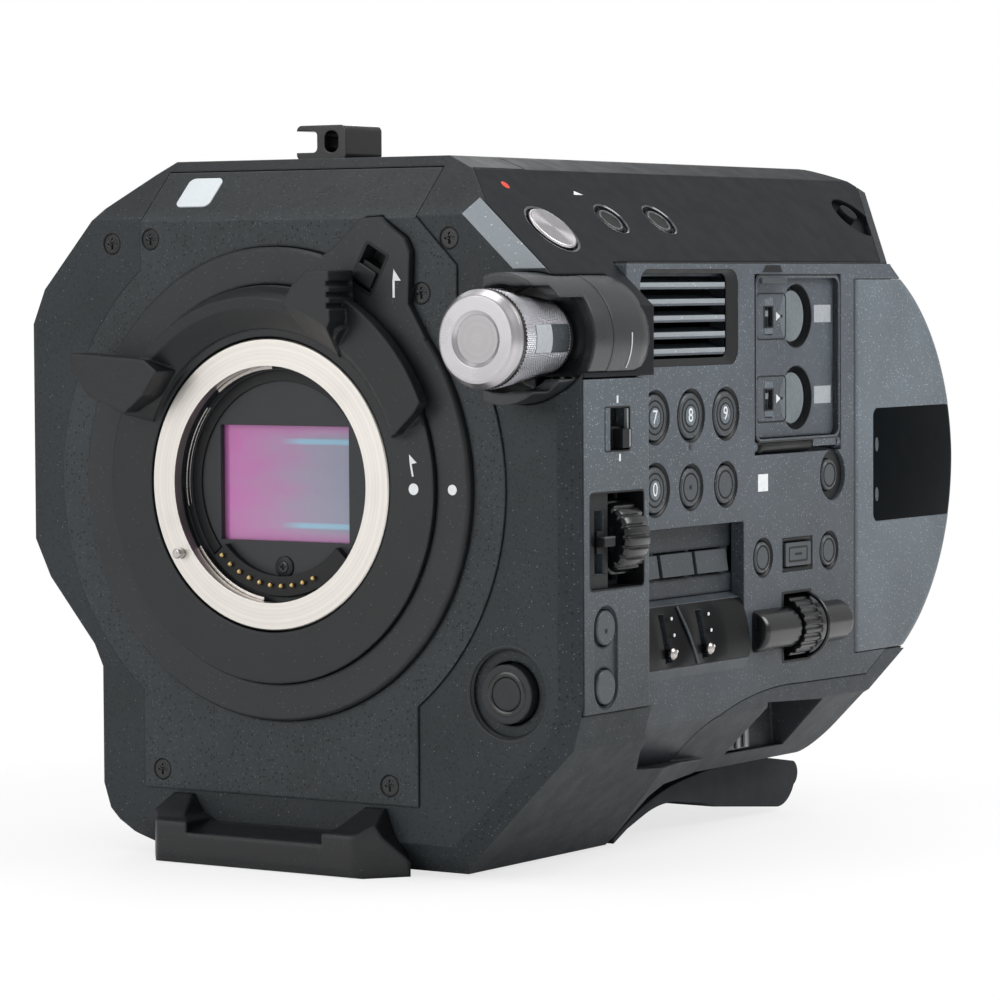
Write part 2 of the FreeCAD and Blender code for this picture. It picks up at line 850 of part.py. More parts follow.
def make_front_casing():
    t = SHELL_T
    start = FACE_Y + EDGE_DEEP
    casing = front_block(0.0, start, CASING_END_Y)
    face_right = outline_right(EDGE_IN)
    face_left = outline_left_inner(0.4)
    edge = loft_y(face_right + face_left, outline_right(0.0) + outline_left_inner(0.0), FACE_Y, start)
    casing = casing.fuse(edge)
    # The lower block runs further back under the body.
    toe = TOE_TOP + RIDGE + [
        (BASE_END_Y, BASE_Z),
        (CASING_END_Y - 1.0, BASE_Z),
    ]
    tail = front_block(0.0, CASING_END_Y - 1.0, BASE_END_Y + 1.0).common(prism_x(toe, -BIG / 2, BIG / 2))
    tail = tail.cut(REAR)
    casing = casing.fuse(tail)
    casing = casing.cut(bevel_tool())
    low_edge = prism_x([
        (FACE_Y - 1.0, BASE_Z + 6.0 + 1.0),
        (FACE_Y - 1.0, BASE_Z - 1.0),
        (FACE_Y + 6.0 - 0.2, BASE_Z - 1.0),
    ], -BIG / 2, BIG / 2)
    casing = casing.cut(low_edge)
    # Hollow behind the front wall.
    room = [
        (TOP_HALF_X, TOP_Z - t - 0.6),
        (SLOPE_TOP_X - t, SLOPE_TOP_Z - t),
        (SIDE_X - COVER_T - t, slope_z(SIDE_X) - t),
        (SIDE_X - COVER_T - t, -44.0),
        (FACET_SUM - 5.0 + BASE_Z + 9.0, BASE_Z + 9.0),
        (-36.0, BASE_Z + 9.0),
        (-41.0, -58.0),
        (-41.0, -36.4),
        (-43.4, -31.4),
        (-55.0, -18.0),
        (BULGE_X + t, -10.0),
        (BULGE_X + t, 29.6),
        (-56.0, 36.0),
        (-42.6, 51.2),
        (-TOP_HALF_X, TOP_Z - t - 0.6),
    ]
    hollow = prism_y(room, WALL_Y + WALL_T, CASING_END_Y + 1.0)
    hollow = hollow.cut(bevel_tool(t * math.sqrt(2)))
    casing = casing.cut(hollow)
    # Pocket for the front plate.
    casing = casing.cut(keyhole(PLATE_R + SEAM, PLATE_HALF_W + SEAM, FACE_Y - 1.0, WALL_Y).cut(
        box(-BIG, -BIG, BEVEL_Z + 9.4, BIG, BIG, BIG)))
    casing = casing.cut(prism_x(bevel_strip(SEAM), -PLATE_HALF_W - SEAM, PLATE_HALF_W + SEAM))
    # Light window, with a seat for its glass.
    casing = casing.cut(box(-WINDOW_W / 2, 0, -WINDOW_H / 2, WINDOW_W / 2, WALL_Y + WALL_T + 1, WINDOW_H / 2))
    seat_w = WINDOW_W / 2 + 1.0
    seat_h = WINDOW_H / 2 + 1.0
    casing = casing.cut(box(-seat_w, WALL_Y - 1, -seat_h, seat_w, WALL_Y + GLASS_T + SEAT, seat_h))
    # Bore of the filter wheel.
    x, z = wheel_centre()
    casing = casing.cut(cyl_y(AXLE_R + RUN_FIT, WALL_Y + 0.5, WALL_Y + WALL_T + 1, x, z))
    # Rooms for the cowl, covers and buttons.
    casing = casing.cut(cyl_y(COWL_R + SEAM, -20.0, CAP_END_Y + GAP, DIAL_X, DIAL_Z))
    casing = casing.cut(upper_cover_space())
    casing = casing.cut(side_cover_space())
    casing = casing.cut(thumb_room(0.6))
    casing = casing.cut(cyl_y(8.6, FACE_Y - 1, FACE_Y + 1.4, WB_X, WB_Z))
    casing = casing.cut(cyl_y(WB_R + 0.6, FACE_Y - 1, FACE_Y + 6.0, WB_X, WB_Z))
    # Seat of the tripod plate.
    casing = casing.cut(box(-TRIPOD_HALF_X - SEAM, TRIPOD_Y - SEAM, BASE_Z - 1,
                            TRIPOD_HALF_X + SEAM, TRIPOD_Y + TRIPOD_L + SEAM, BASE_Z + TRIPOD_T))
    casing = casing.cut(slope_cyl(REC_R + REC_FOOT + GAP, REC_X, REC_Y, -12.0, 0.0))
    casing = casing.cut([screw_hole(x, z, FACE_Y) for x, z in CASING_SCREWS])
    return casing.cut([screw_hole(x, z, PLATE_Y) for x, z in PLATE_SCREWS])


def bevel_strip(grow):
    """The section of the plate's upper strip along the bevel, as (y, z)."""
    top = BEVEL_Z + 9.4 + grow
    return [
        (FACE_Y - 1.0, BEVEL_Z - 1.0),
        (FACE_Y + 9.4 + grow, top),
        (FACE_Y + 9.4 + grow + 3.4, top),
        (WALL_Y, BEVEL_Z - 3.0),
        (FACE_Y - 1.0, BEVEL_Z - 3.0),
    ]


def screw_hole(x, z, y):
    """Room for one screw head and its shank."""
    head = cyl_y(SCREW_R + SEAT, y - 1, y + 0.9, x, z)
    return head.fuse(cyl_y(SCREW_SHANK_R + SEAT, y, y + SCREW_LONG, x, z))


def screw(x, z, y):
    """A countersunk screw with a cross slot."""
    head = cyl_y(SCREW_R, y + 0.1, y + 0.8, x, z)
    slot_a = box(x - 1.1, y - 1, z - 0.22, x + 1.1, y + 0.5, z + 0.22)
    slot_b = box(x - 0.22, y - 1, z - 1.1, x + 0.22, y + 0.5, z + 1.1)
    return head.cut([slot_a, slot_b]).fuse(cyl_y(SCREW_SHANK_R, y + 0.5, y + SCREW_LONG - SEAT, x, z))


def make_body_screws():
    screws = [screw(x, z, FACE_Y) for x, z in CASING_SCREWS]
    screws += [screw(x, z, PLATE_Y) for x, z in PLATE_SCREWS]
    return Part.makeCompound(screws)


def make_front_plate():
    plate = keyhole(PLATE_R, PLATE_HALF_W, PLATE_Y, WALL_Y - SEAT)
    plate = plate.cut(box(-BIG, -BIG, BEVEL_Z - 0.4, BIG, BIG, BIG))
    rise = TOP_Z - BEVEL_Z - STRIP_DROP
    strip = prism_x([
        (PLATE_Y, BEVEL_Z - 0.4),
        (PLATE_Y + rise, BEVEL_Z - 0.4 + rise),
        (PLATE_Y + rise + 3.0, BEVEL_Z - 0.4 + rise),
        (WALL_Y - SEAT, BEVEL_Z - 2.6),
        (PLATE_Y, BEVEL_Z - 2.6),
    ], -PLATE_HALF_W, PLATE_HALF_W)
    plate = plate.fuse(strip)
    plate = plate.cut(housing_outline(SEAM, PLATE_Y - 5, WALL_Y + 1))
    plate = plate.cut(cyl_y(COWL_R + SEAM, -20, 20, DIAL_X, DIAL_Z))
    plate = plate.cut(tally_solid(SEAT))
    return plate.cut([screw_hole(x, z, PLATE_Y) for x, z in PLATE_SCREWS])


def tally_solid(grow):
    """The tally window on the bevel."""
    up = V(0, 1, 1)
    up.normalize()
    out = V(0, -1, 1)
    out.normalize()
    base = V(TALLY_X, PLATE_Y, BEVEL_Z - 0.4) + up * TALLY_LOW - out * TALLY_T
    w = V(1, 0, 0)
    corners = [
        base - w * grow - up * grow,
        base + w * (TALLY_W + grow) - up * grow,
        base + w * (TALLY_W + grow) + up * (TALLY_H + grow),
        base - w * grow + up * (TALLY_H + grow),
    ]
    depth = TALLY_T + (1.0 if grow else 0.15)
    block = face_of([c - out * grow for c in corners]).extrude(out * depth)
    edges = [e for e in block.Edges if abs(e.tangentAt(e.FirstParameter).dot(out)) > 0.9]
    return block.makeFillet(1.4, edges)


def make_tally_lens():
    return tally_solid(0.0)


# Lens mount

def housing_outline(grow, y0, y1):
    """The mount housing with its release tab."""
    disc = cyl_y(HOUSING_R + grow, y0, y1)
    if not grow:
        front = [e for e in disc.Edges if e.BoundBox.YMax < y0 + 0.01]
        disc = disc.makeChamfer(HOUSING_EDGE, front)
    cx = sum(p[0] for p in TAB_OUTLINE) / len(TAB_OUTLINE)
    cz = sum(p[1] for p in TAB_OUTLINE) / len(TAB_OUTLINE)
    grown = []
    for x, z in TAB_OUTLINE:
        dx, dz = x - cx, z - cz
        far = math.hypot(dx, dz)
        grown.append((x + dx / far * grow * 1.4, z + dz / far * grow * 1.4))
    return disc.fuse(prism_y(grown, y0, y1))


def radial_block(angle, r0, r1, width, y0, y1):
    """A block that points away from the optical axis."""
    block = box(r0, y0, -width / 2, r1, y1, width / 2)
    block.rotate(V(0, 0, 0), V(0, -1, 0), angle)
    return block


def make_mount_housing():
    back = WALL_Y - SEAT
    body = housing_outline(0.0, HOUSING_Y, back)
    body = body.cut(cyl_y(LOCK_RING_R + GAP, HOUSING_Y - 1, LOCK_RING_T + GAP))
    boss = ring_y(FLANGE_R, THROAT_R + 0.35, FLANGE_T, back)
    body = body.fuse(boss)
    body = body.cut(cyl_y(THROAT_R + 0.35, -1, back + 1))
    slot = radial_block(SLIDER_ANGLE, SLIDER_FROM, SLIDER_TO, SLIDER_W, HOUSING_Y - 1, back - 1.0)
    body = body.cut(slot)
    body = body.cut(cyl_y(LOCK_PIN_R + 0.4, 0, back - 0.6, LOCK_PIN_X, LOCK_PIN_Z))
    # Three grooves that hold the claw springs.
    for a in (95.0, 215.0, 335.0):
        body = body.cut(sector_y(THROAT_R + 1.4, THROAT_R, a - 32, a + 32, 3.2, 4.2))
    return body


def make_lens_flange():
    ring = ring_y(FLANGE_R - SEAT, THROAT_R, 0.0, FLANGE_T)
    ring = ring.cut(cyl_y(LOCK_PIN_R + RUN_FIT, -1, FLANGE_T + 1, LOCK_PIN_X, LOCK_PIN_Z))
    edge = [e for e in ring.Edges if abs(e.BoundBox.YMax) < 0.01 and e.Length > 160]
    return ring.makeChamfer(0.25, edge)


def make_lens_lock_pin():
    pin = cyl_y(LOCK_PIN_R, -LOCK_PIN_OUT, FLANGE_T + 1.0, LOCK_PIN_X, LOCK_PIN_Z)
    tip = [e for e in pin.Edges if abs(e.BoundBox.YMax + LOCK_PIN_OUT) < 0.01]
    return pin.makeFillet(0.4, tip)


def swept(section, a0, a1):
    """A section of (radius, y) points swept round the optical axis."""
    face = face_of([V(r, y, 0) for r, y in section])
    solid = face.revolve(V(0, 0, 0), V(0, -1, 0), a1 - a0)
    solid.rotate(V(0, 0, 0), V(0, -1, 0), a0)
    return solid


def make_lens_lock_ring():
    ring = ring_y(LOCK_RING_R, FLANGE_R + GAP, 0.0, LOCK_RING_T)
    ridge = swept(RIDGE_SECTION, 55, 157)
    arm = swept(ARM_SECTION, 18, 60)
    arm = arm.cut(prism_y([(31.5, 10.0), (36.4, 14.4), (45.0, 26.0), (45.0, 5.0)], -5, -0.3))
    grip = swept(GRIP_SECTION, 48, 82).common(prism_y(GRIP_OUTLINE, -10, 1))
    edge_x = max(x for x, z in GRIP_OUTLINE)
    grooves = []
    for n in range(GRIP_RIBS):
        z = 34.2 + n * RIB_PITCH
        grooves.append(box(edge_x - 0.8, -10, z, edge_x + 1, -1.0, z + RIB_PITCH / 2))
    tab = prism_y(TAB_PLATE, -7.4, -0.8)
    return ring.fuse([ridge, arm, grip.cut(grooves), tab])


def make_release_slider():
    start = SLIDER_FROM + GAP
    end = start + SLIDER_L
    width = SLIDER_W - 2 * GAP
    foot = radial_block(SLIDER_ANGLE, start, end, width, HOUSING_Y + 0.8, WALL_Y - 1.0 - GAP)
    top = HOUSING_Y - SLIDER_OUT
    knob = radial_block(SLIDER_ANGLE, start + 0.8, end - 0.8, width, top, HOUSING_Y + 1.0)
    return foot.fuse(knob)


def make_light_baffle():
    plate = cyl_y(THROAT_R + 0.25, CONTACT_Y, WALL_Y - SEAT)
    half_w = WINDOW_W / 2 - SEAM
    half_h = WINDOW_H / 2 - SEAM
    plate = plate.cut(box(-half_w, 0, -half_h, half_w, SENSOR_Y, half_h))
    rim = ring_y(THROAT_R + 0.25, THROAT_R - 0.9, 4.5, CONTACT_Y + 0.3)
    return plate.fuse(rim)


def make_sensor_glass():
    w = WINDOW_W / 2 + 0.9
    h = WINDOW_H / 2 + 0.9
    return box(-w, WALL_Y + SEAT, -h, w, WALL_Y + SEAT + GLASS_T - 0.1, h)


def make_contact_block():
    block = sector_y(THROAT_R - 1.1, THROAT_R - 5.0, 222, 318, CONTACT_Y - 1.6, CONTACT_Y - SEAT)
    pins = []
    for n in range(CONTACT_PINS):
        x, z = polar(CONTACT_R + 0.4, 226 + n * 7.6)
        pins.append(cyl_y(0.45, CONTACT_Y - 2.2, CONTACT_Y - 1.2, x, z))
    return block.fuse(pins)


# Filter dial and wheel

def circle_meet(centre_a, r_a, centre_b, r_b, side):
    """A point at given distances from two centres."""
    dx = centre_b[0] - centre_a[0]
    dz = centre_b[1] - centre_a[1]
    far = math.hypot(dx, dz)
    along = (r_a * r_a - r_b * r_b + far * far) / (2 * far)
    across = math.sqrt(max(r_a * r_a - along * along, 0.0)) * side
    ux, uz = dx / far, dz / far
    return (centre_a[0] + ux * along - uz * across, centre_a[1] + uz * along + ux * across)


def gear_pitch(teeth):
    """The pitch radius of a gear."""
    return teeth * TOOTH_MODULE / 2


def wheel_centre():
    """The axis of the filter wheel, from the gears between it and the dial."""
    reach = 2 * gear_pitch(DIAL_TEETH) + 2 * gear_pitch(IDLER_TEETH)
    return circle_meet((0.0, 0.0), FILTER_OFFSET, (DIAL_X, DIAL_Z), reach, -1)


def idler_centre():
    """The axis of the idler, midway between dial and wheel."""
    x, z = wheel_centre()
    return ((x + DIAL_X) / 2, (z + DIAL_Z) / 2)


def train_angle():
    """The direction from the dial to the idler, in degrees."""
    x, z = idler_centre()
    return math.degrees(math.atan2(z - DIAL_Z, x - DIAL_X))


def make_nd_dial():
    front = DIAL_FRONT_Y
    body = cone_y(DIAL_R - DIAL_CHAMFER, DIAL_R, front, front + DIAL_CHAMFER + 0.6, DIAL_X, DIAL_Z)
    barrel = cone_y(DIAL_R, DIAL_TAIL_R, front + DIAL_CHAMFER + 0.6, DIAL_TAIL_Y, DIAL_X, DIAL_Z)
    shaft = cyl_y(SHAFT_R, DIAL_TAIL_Y - 1, GEAR_Y + GEAR_T + 0.6, DIAL_X, DIAL_Z)
    gear = gear_y(DIAL_TEETH, GEAR_Y, GEAR_Y + GEAR_T, DIAL_X, DIAL_Z, train_angle())
    groove = ring_y(5.0, 4.5, front - 1, front + 0.4, DIAL_X, DIAL_Z)
    dial = body.fuse([barrel, shaft, gear])
    return dial.cut(groove)


def make_nd_idler_gear():
    x, z = idler_centre()
    half_step = 180.0 / IDLER_TEETH
    gear = gear_y(IDLER_TEETH, GEAR_Y, GEAR_Y + GEAR_T, x, z, train_angle() + 180.0 + half_step)
    windows = []
    for n in range(5):
        wx, wz = polar(11.0, n * 72.0, x, z)
        windows.append(cyl_y(3.6, GEAR_Y - 1, GEAR_Y + GEAR_T + 1, wx, wz))
    gear = gear.cut(windows)
    return gear.fuse(cyl_y(AXLE_R, GEAR_Y - 0.6, FRAME_Y + FRAME_T, x, z))


def make_nd_turret():
    x, z = wheel_centre()
    wheel = cyl_y(FILTER_WHEEL_R, FILTER_WHEEL_Y, FILTER_WHEEL_Y + FILTER_WHEEL_T, x, z)
    start = math.degrees(math.atan2(-z, -x))
    panes = []
    for n in range(FILTERS):
        fx, fz = polar(FILTER_OFFSET, start + n * 360.0 / FILTERS, x, z)
        wheel = wheel.cut(cyl_y(FILTER_R, 0, 40, fx, fz))
        wheel = wheel.cut(cyl_y(FILTER_R + 0.8, FILTER_WHEEL_Y + 0.6, 40, fx, fz))
        if n:
            pane_end = FILTER_WHEEL_Y + FILTER_WHEEL_T - SEAT
            panes.append(cyl_y(FILTER_R + 0.7, FILTER_WHEEL_Y + 0.6, pane_end, fx, fz))
    half_step = 180.0 / DIAL_TEETH
    gear = gear_y(DIAL_TEETH, GEAR_Y, GEAR_Y + GEAR_T, x, z, train_angle() + 180.0 + half_step)
    shaft = cyl_y(AXLE_R, WALL_Y + 0.8, GEAR_Y + GEAR_T + 0.6, x, z)
    return Part.makeCompound([wheel.fuse([gear, shaft])] + panes)


def make_nd_cowl():
    outer = cyl_y(COWL_R, COWL_FRONT_Y, COWL_BACK_Y, DIAL_X, DIAL_Z)
    bore = cyl_y(COWL_R - COWL_T, COWL_FRONT_Y - 1, COWL_BACK_Y - COWL_BACK_T, DIAL_X, DIAL_Z)
    cowl = outer.cut(bore)
    # Finger window on the control side, wider towards the front.
    cowl = cowl.cut(box(DIAL_X + 2, COWL_FRONT_Y + 5.0, DIAL_Z - 7.6, BIG, COWL_BACK_Y - 3.0, DIAL_Z + 7.6))
    cowl = cowl.cut(box(DIAL_X + 1, COWL_FRONT_Y - 1, DIAL_Z - 9.8, BIG, COWL_FRONT_Y + 5.2, DIAL_Z + 9.8))
    cowl = cowl.cut(cyl_y(SHAFT_R + RUN_FIT, 0, 40, DIAL_X, DIAL_Z))
    # Away from the side, the cowl ends at the front of the body.
    cowl = cowl.cut(box(DIAL_X - 20, -20, DIAL_Z - 20, DIAL_X - 4, FACE_Y - 1.5, DIAL_Z + 20))
    cap = cyl_y(COWL_R, COWL_BACK_Y - 0.5, CAP_END_Y, DIAL_X, DIAL_Z)
    edge = [e for e in cap.Edges if abs(e.BoundBox.YMin - CAP_END_Y) < 0.01]
    cap = cap.makeFillet(CAP_ROUND, edge)
    cap = cap.cut(cyl_y(COWL_R - COWL_T, COWL_BACK_Y - 1, CAP_END_Y - COWL_T, DIAL_X, DIAL_Z))
    cap = cap.cut(box(-BIG, 0, -BIG, DIAL_X + 3.2, BIG, BIG))
    cowl = cowl.fuse(cap)
    return cowl.cut(box(DIAL_X - 2, FACE_Y + EDGE_DEEP, -BIG, BIG, BIG, COVER_TOP_Z))


# Covers of the control side

def upper_cover_space():
    """Room that the shoulder cover takes from the front casing."""
    t = SHELL_T
    far = slope_z(SIDE_X)
    inner = [
        shoulder_point(-SEAM, -t),
        (SIDE_X - t, far - t * 0.55),
        (SIDE_X - t, COVER_TOP_Z - SEAM),
        (SIDE_X + 5, COVER_TOP_Z - SEAM),
        (SIDE_X + 5, far + 5),
        shoulder_point(-SEAM, 5),
    ]
    room = prism_y(inner, FACE_Y + EDGE_DEEP + 0.01, CASING_END_Y + 10)
    return room.cut(bevel_tool(0.4))


def shoulder_section(t):
    """The shoulder cover's section in front of the control panel."""
    n = slope_normal()
    far = slope_z(SIDE_X)
    return [
        (SLOPE_TOP_X, SLOPE_TOP_Z),
        (SIDE_X, far),
        (SIDE_X, COVER_TOP_Z),
        (SIDE_X - t, COVER_TOP_Z),
        (SIDE_X - t, far - t * 0.55),
        (SLOPE_TOP_X - n.x * t, SLOPE_TOP_Z - n.z * t),
    ]


def on_slope(x, y, lift):
    """A point on the shoulder, lifted along its normal."""
    return V(x, y, slope_z(x)) + slope_normal() * lift


def slope_cyl(radius, x, y, low, high):
    """A cylinder square to the shoulder."""
    return cyl(radius, on_slope(x, y, low), slope_normal(), high - low)


def make_upper_cover():
    t = SHELL_T - SEAT
    front = prism_y(shoulder_section(t), FACE_Y + EDGE_DEEP + SEAM, PANEL_FRONT_Y - SEAM)
    front = front.cut(bevel_tool(0.6))
    n = slope_normal()
    band = [
        (TOP_HALF_X + SEAM, TOP_Z),
        (SLOPE_TOP_X, SLOPE_TOP_Z),
        (SLOPE_LOW_X, SLOPE_LOW_Z),
        (SLOPE_LOW_X - t * 1.2, SLOPE_LOW_Z),
        (SLOPE_TOP_X - n.x * t, SLOPE_TOP_Z - n.z * t),
        (TOP_HALF_X + SEAM, TOP_Z - t),
    ]
    rear = prism_y(band, CASING_END_Y + SEAM, REAR_Y).common(REAR)
    rear = rear.cut(rear_corner(SHELL_T))
    bridge = prism_y([
        (SLOPE_TOP_X, SLOPE_TOP_Z),
        (SLOPE_LOW_X, SLOPE_LOW_Z),
        (SLOPE_LOW_X - n.x * t, SLOPE_LOW_Z - n.z * t),
        (SLOPE_TOP_X - n.x * t, SLOPE_TOP_Z - n.z * t),
    ], CASING_END_Y - 1.0, CASING_END_Y + 2.0)
    cover = front.fuse([rear, bridge])
    cover = cover.cut(cyl_y(COWL_R + SEAM, -20, CAP_END_Y + GAP, DIAL_X, DIAL_Z))
    # Wells and bores of the three buttons.
    cover = cover.cut(slope_cyl(REC_R + 1.1, REC_X, REC_Y, -0.7, 5.0))
    cover = cover.cut(slope_cyl(REC_R + GAP, REC_X, REC_Y, -9.0, 5.0))
    for y in (HOLD_Y, AUTO_Y):
        cover = cover.cut(slope_cyl(ROUND_R + 0.9, ROUND_X, y, -0.9, 5.0))
        cover = cover.cut(slope_cyl(ROUND_R + GAP, ROUND_X, y, -9.0, 5.0))
    # Hollow for the strap lug at the rear corner.
    lug_y = REAR_Y - 22.0
    cover = cover.cut(slope_cyl(6.0, SLOPE_TOP_X + 9.0, lug_y, -1.6, 8.0))
    return cover.fuse(slope_cyl(2.2, SLOPE_TOP_X + 8.0, lug_y - 1.0, -2.0, 0.4))


def slope_button(radius, x, y, crown):
    """A button square to the shoulder, on a wider foot."""
    head = slope_cyl(radius, x, y, -3.0, crown)
    top = [e for e in head.Edges if e.Curve.TypeId == "Part::GeomCircle"
           and (e.CenterOfMass - on_slope(x, y, crown)).Length < 0.1]
    head = head.makeFillet(min(0.5, crown + 2.9), top)
    return head.fuse(slope_cyl(radius + REC_FOOT, x, y, -SHELL_T - 1.4, -SHELL_T - 0.3))


def make_rec_button():
    return slope_button(REC_R, REC_X, REC_Y, 0.5)


def make_hold_button():
    return slope_button(ROUND_R, ROUND_X, HOLD_Y, -0.3)


def make_full_auto_button():
    return slope_button(ROUND_R, ROUND_X, AUTO_Y, -0.3)


def make_wb_set_button():
    head = cyl_y(WB_R, FACE_Y - 0.5, FACE_Y + 4.4, WB_X, WB_Z)
    groove = ring_y(3.6, 3.1, FACE_Y - 2, FACE_Y - 0.1, WB_X, WB_Z)
    return head.cut(groove)


# Front side cover

def side_cover_space():
    """Room that the side cover takes from the casing."""
    x0 = SIDE_X - COVER_T
    return box(x0, FACE_Y + EDGE_DEEP + 0.01, COVER_LOW_Z - SEAM, BIG, CASING_END_Y + 5, COVER_TOP_Z - SEAM)


def thumb_room(grow):
    """The well round the thumb wheel and its selector."""
    x = SIDE_X - THUMB_WELL
    w = WELL_WALL + grow
    return rounded_x(WELL_Y0 - w, WELL_Z0 - w, WELL_Y1 + w, WELL_Z1 + w, x - grow, BIG, 1.6)


def make_front_side_cover():
    x0 = SIDE_X - COVER_T + SEAT
    y0 = FACE_Y + EDGE_DEEP + SEAM
    cover = box(x0, y0, COVER_LOW_Z, SIDE_X, COVER_END_Y, COVER_TOP_Z - 2 * SEAM)
    near_rear = COVER_END_Y - 0.01
    rear_edge = [e for e in cover.Edges if e.BoundBox.XMin > SIDE_X - 0.01 and e.BoundBox.YMin > near_rear]
    cover = cover.makeFillet(0.8, rear_edge)
    w = WELL_WALL
    floor = SIDE_X - THUMB_WELL
    well = rounded_x(WELL_Y0 - w, WELL_Z0 - w, WELL_Y1 + w, WELL_Z1 + w, floor, SIDE_X - 0.05, 1.4)
    cup = well.cut(rounded_x(WELL_Y0, WELL_Z0, WELL_Y1, WELL_Z1, floor + w, BIG, 0.9))
    cover = cover.cut(rounded_x(WELL_Y0, WELL_Z0, WELL_Y1, WELL_Z1, x0 - 5, BIG, 0.9)).fuse(cup)
    axle_x = SIDE_X + THUMB_OUT - THUMB_R
    # The thumb wheel's inner half turns through a slot in the well's floor.
    beside = GAP + SEAM
    reach = THUMB_R + GAP
    cover = cover.cut(box(x0 - 8, THUMB_Y - beside, THUMB_Z - reach, floor + 1.5,
                          THUMB_Y + THUMB_W + beside, THUMB_Z + reach))
    pin = cyl_y(WHEEL_AXLE_R, THUMB_Y - 1.6, WELL_Y1 + 0.6, axle_x, THUMB_Z)
    cheek = box(axle_x - 2.4, THUMB_Y - 1.9, THUMB_Z - 2.4, axle_x + 2.4, THUMB_Y - GAP, THUMB_Z + 2.4)
    cover = cover.fuse([pin, cheek])
    # Bed and slot of the selector.
    bed = box(floor, WELL_Y0 - 0.4, WELL_Z0 - 0.4, SIDE_X - 1.2, THUMB_Y - 1.6, WELL_Z1 + 0.4)
    cover = cover.fuse(bed)
    half = SELECTOR_HALF_Z + SELECTOR_TRAVEL + 0.4
    side = SELECTOR_STEM + GAP
    cover = cover.cut(box(floor + 0.4, SELECTOR_Y - side, SELECTOR_Z - half,
                          BIG, SELECTOR_Y + side, SELECTOR_Z + half))
    # Preset switch slot and round buttons.
    y1 = PRESET_Y + PRESET_HALF_Y
    z0 = PRESET_Z - PRESET_HALF_Z
    z1 = PRESET_Z + PRESET_HALF_Z
    cover = cover.cut(box(x0 - 5, PRESET_Y - PRESET_HALF_Y, z0, SIDE_X - 1.0, y1, z1))
    cover = cover.cut(box(x0 - 5, PRESET_Y - 2.6, z0, BIG, y1, z1))
    for z in (IRIS_Z, PUSH_Z):
        cover = cover.cut(cyl_x(IRIS_R + GAP, x0 - 1, BIG, IRIS_Y, z))
    pill = rounded_x(IRIS_Y - 4.2, PUSH_Z - 4.2, IRIS_Y + 4.2, IRIS_Z + 4.2, SIDE_X - 0.6, BIG, 4.1)
    return cover.cut(pill)


def make_preset_switch():
    x0 = SIDE_X - COVER_T
    half_y = PRESET_HALF_Y - GAP
    low = PRESET_Z - PRESET_HALF_Z + GAP
    plate = box(x0 + SEAT, PRESET_Y - half_y, low, x0 + 1.9, PRESET_Y + half_y, PRESET_Z + 0.4)
    knob = box(x0 + 1.0, PRESET_Y + 0.4, PRESET_Z - 3.6, SIDE_X + 0.9, PRESET_Y + 3.6, PRESET_Z)
    return plate.fuse(knob)


def make_iris_wheel():
    x = SIDE_X + THUMB_OUT - THUMB_R
    wheel = ribbed_y(THUMB_R, THUMB_Y, THUMB_Y + THUMB_W, x, THUMB_Z, THUMB_RIBS, 0.6)
    return wheel.cut(cyl_y(WHEEL_AXLE_R + RUN_FIT, 0, 60, x, THUMB_Z))


def make_iris_selector():
    low = SIDE_X - THUMB_WELL + 0.4 + GAP
    y = SELECTOR_Y
    z0 = SELECTOR_Z - SELECTOR_HALF_Z
    z1 = SELECTOR_Z + SELECTOR_HALF_Z
    stem = box(low, y - SELECTOR_STEM, z0, SIDE_X - 0.9, y + SELECTOR_STEM, z1)
    cap = box(SIDE_X - 1.2 + GAP, y - SELECTOR_HALF_Y, z0, SIDE_X + 1.2, y + SELECTOR_HALF_Y, z1)
    return stem.fuse(cap)


def side_button(radius, y, z, face_x, back_x, crown):
    """A round button on the side, with a softened edge."""
    head = cyl_x(radius, back_x, face_x + crown, y, z)
    edge = [e for e in head.Edges if e.BoundBox.XMin > face_x + crown - 0.01]
    return head.makeFillet(0.4, edge)


def make_iris_button():
    return side_button(IRIS_R, IRIS_Y, IRIS_Z, SIDE_X - 0.6, ROUND_BACK_X, 0.7)


def make_push_auto_button():
    return side_button(IRIS_R, IRIS_Y, PUSH_Z, SIDE_X - 0.6, ROUND_BACK_X, 0.7)


# Control panel behind the front side cover

def panel_outline():
    """The control panel's outline, as (y, z) corners and arcs."""
    door_y = DOOR_SEAM_Y
    return [
        (PANEL_FRONT_Y, PANEL_TOP_Z),
        (PANEL_CORNER_Y, PANEL_TOP_Z),
        (PANEL_END_Y, DOOR_HALF_Z + SEAM),
        (door_y - SEAM, DOOR_HALF_Z + SEAM),
        (door_y - SEAM, -DOOR_HALF_Z - SEAM),
    ] + PANEL_FOOT + SKIRT_SEAM + [
        (SKIRT_SEAM_END, BELLY_Z - 1.0),
        (PANEL_FRONT_Y, BELLY_Z - 1.0),
    ]


def panel_ground():
    """The panel's thickness, from its face to its back."""
    return PANEL_X - PANEL_T


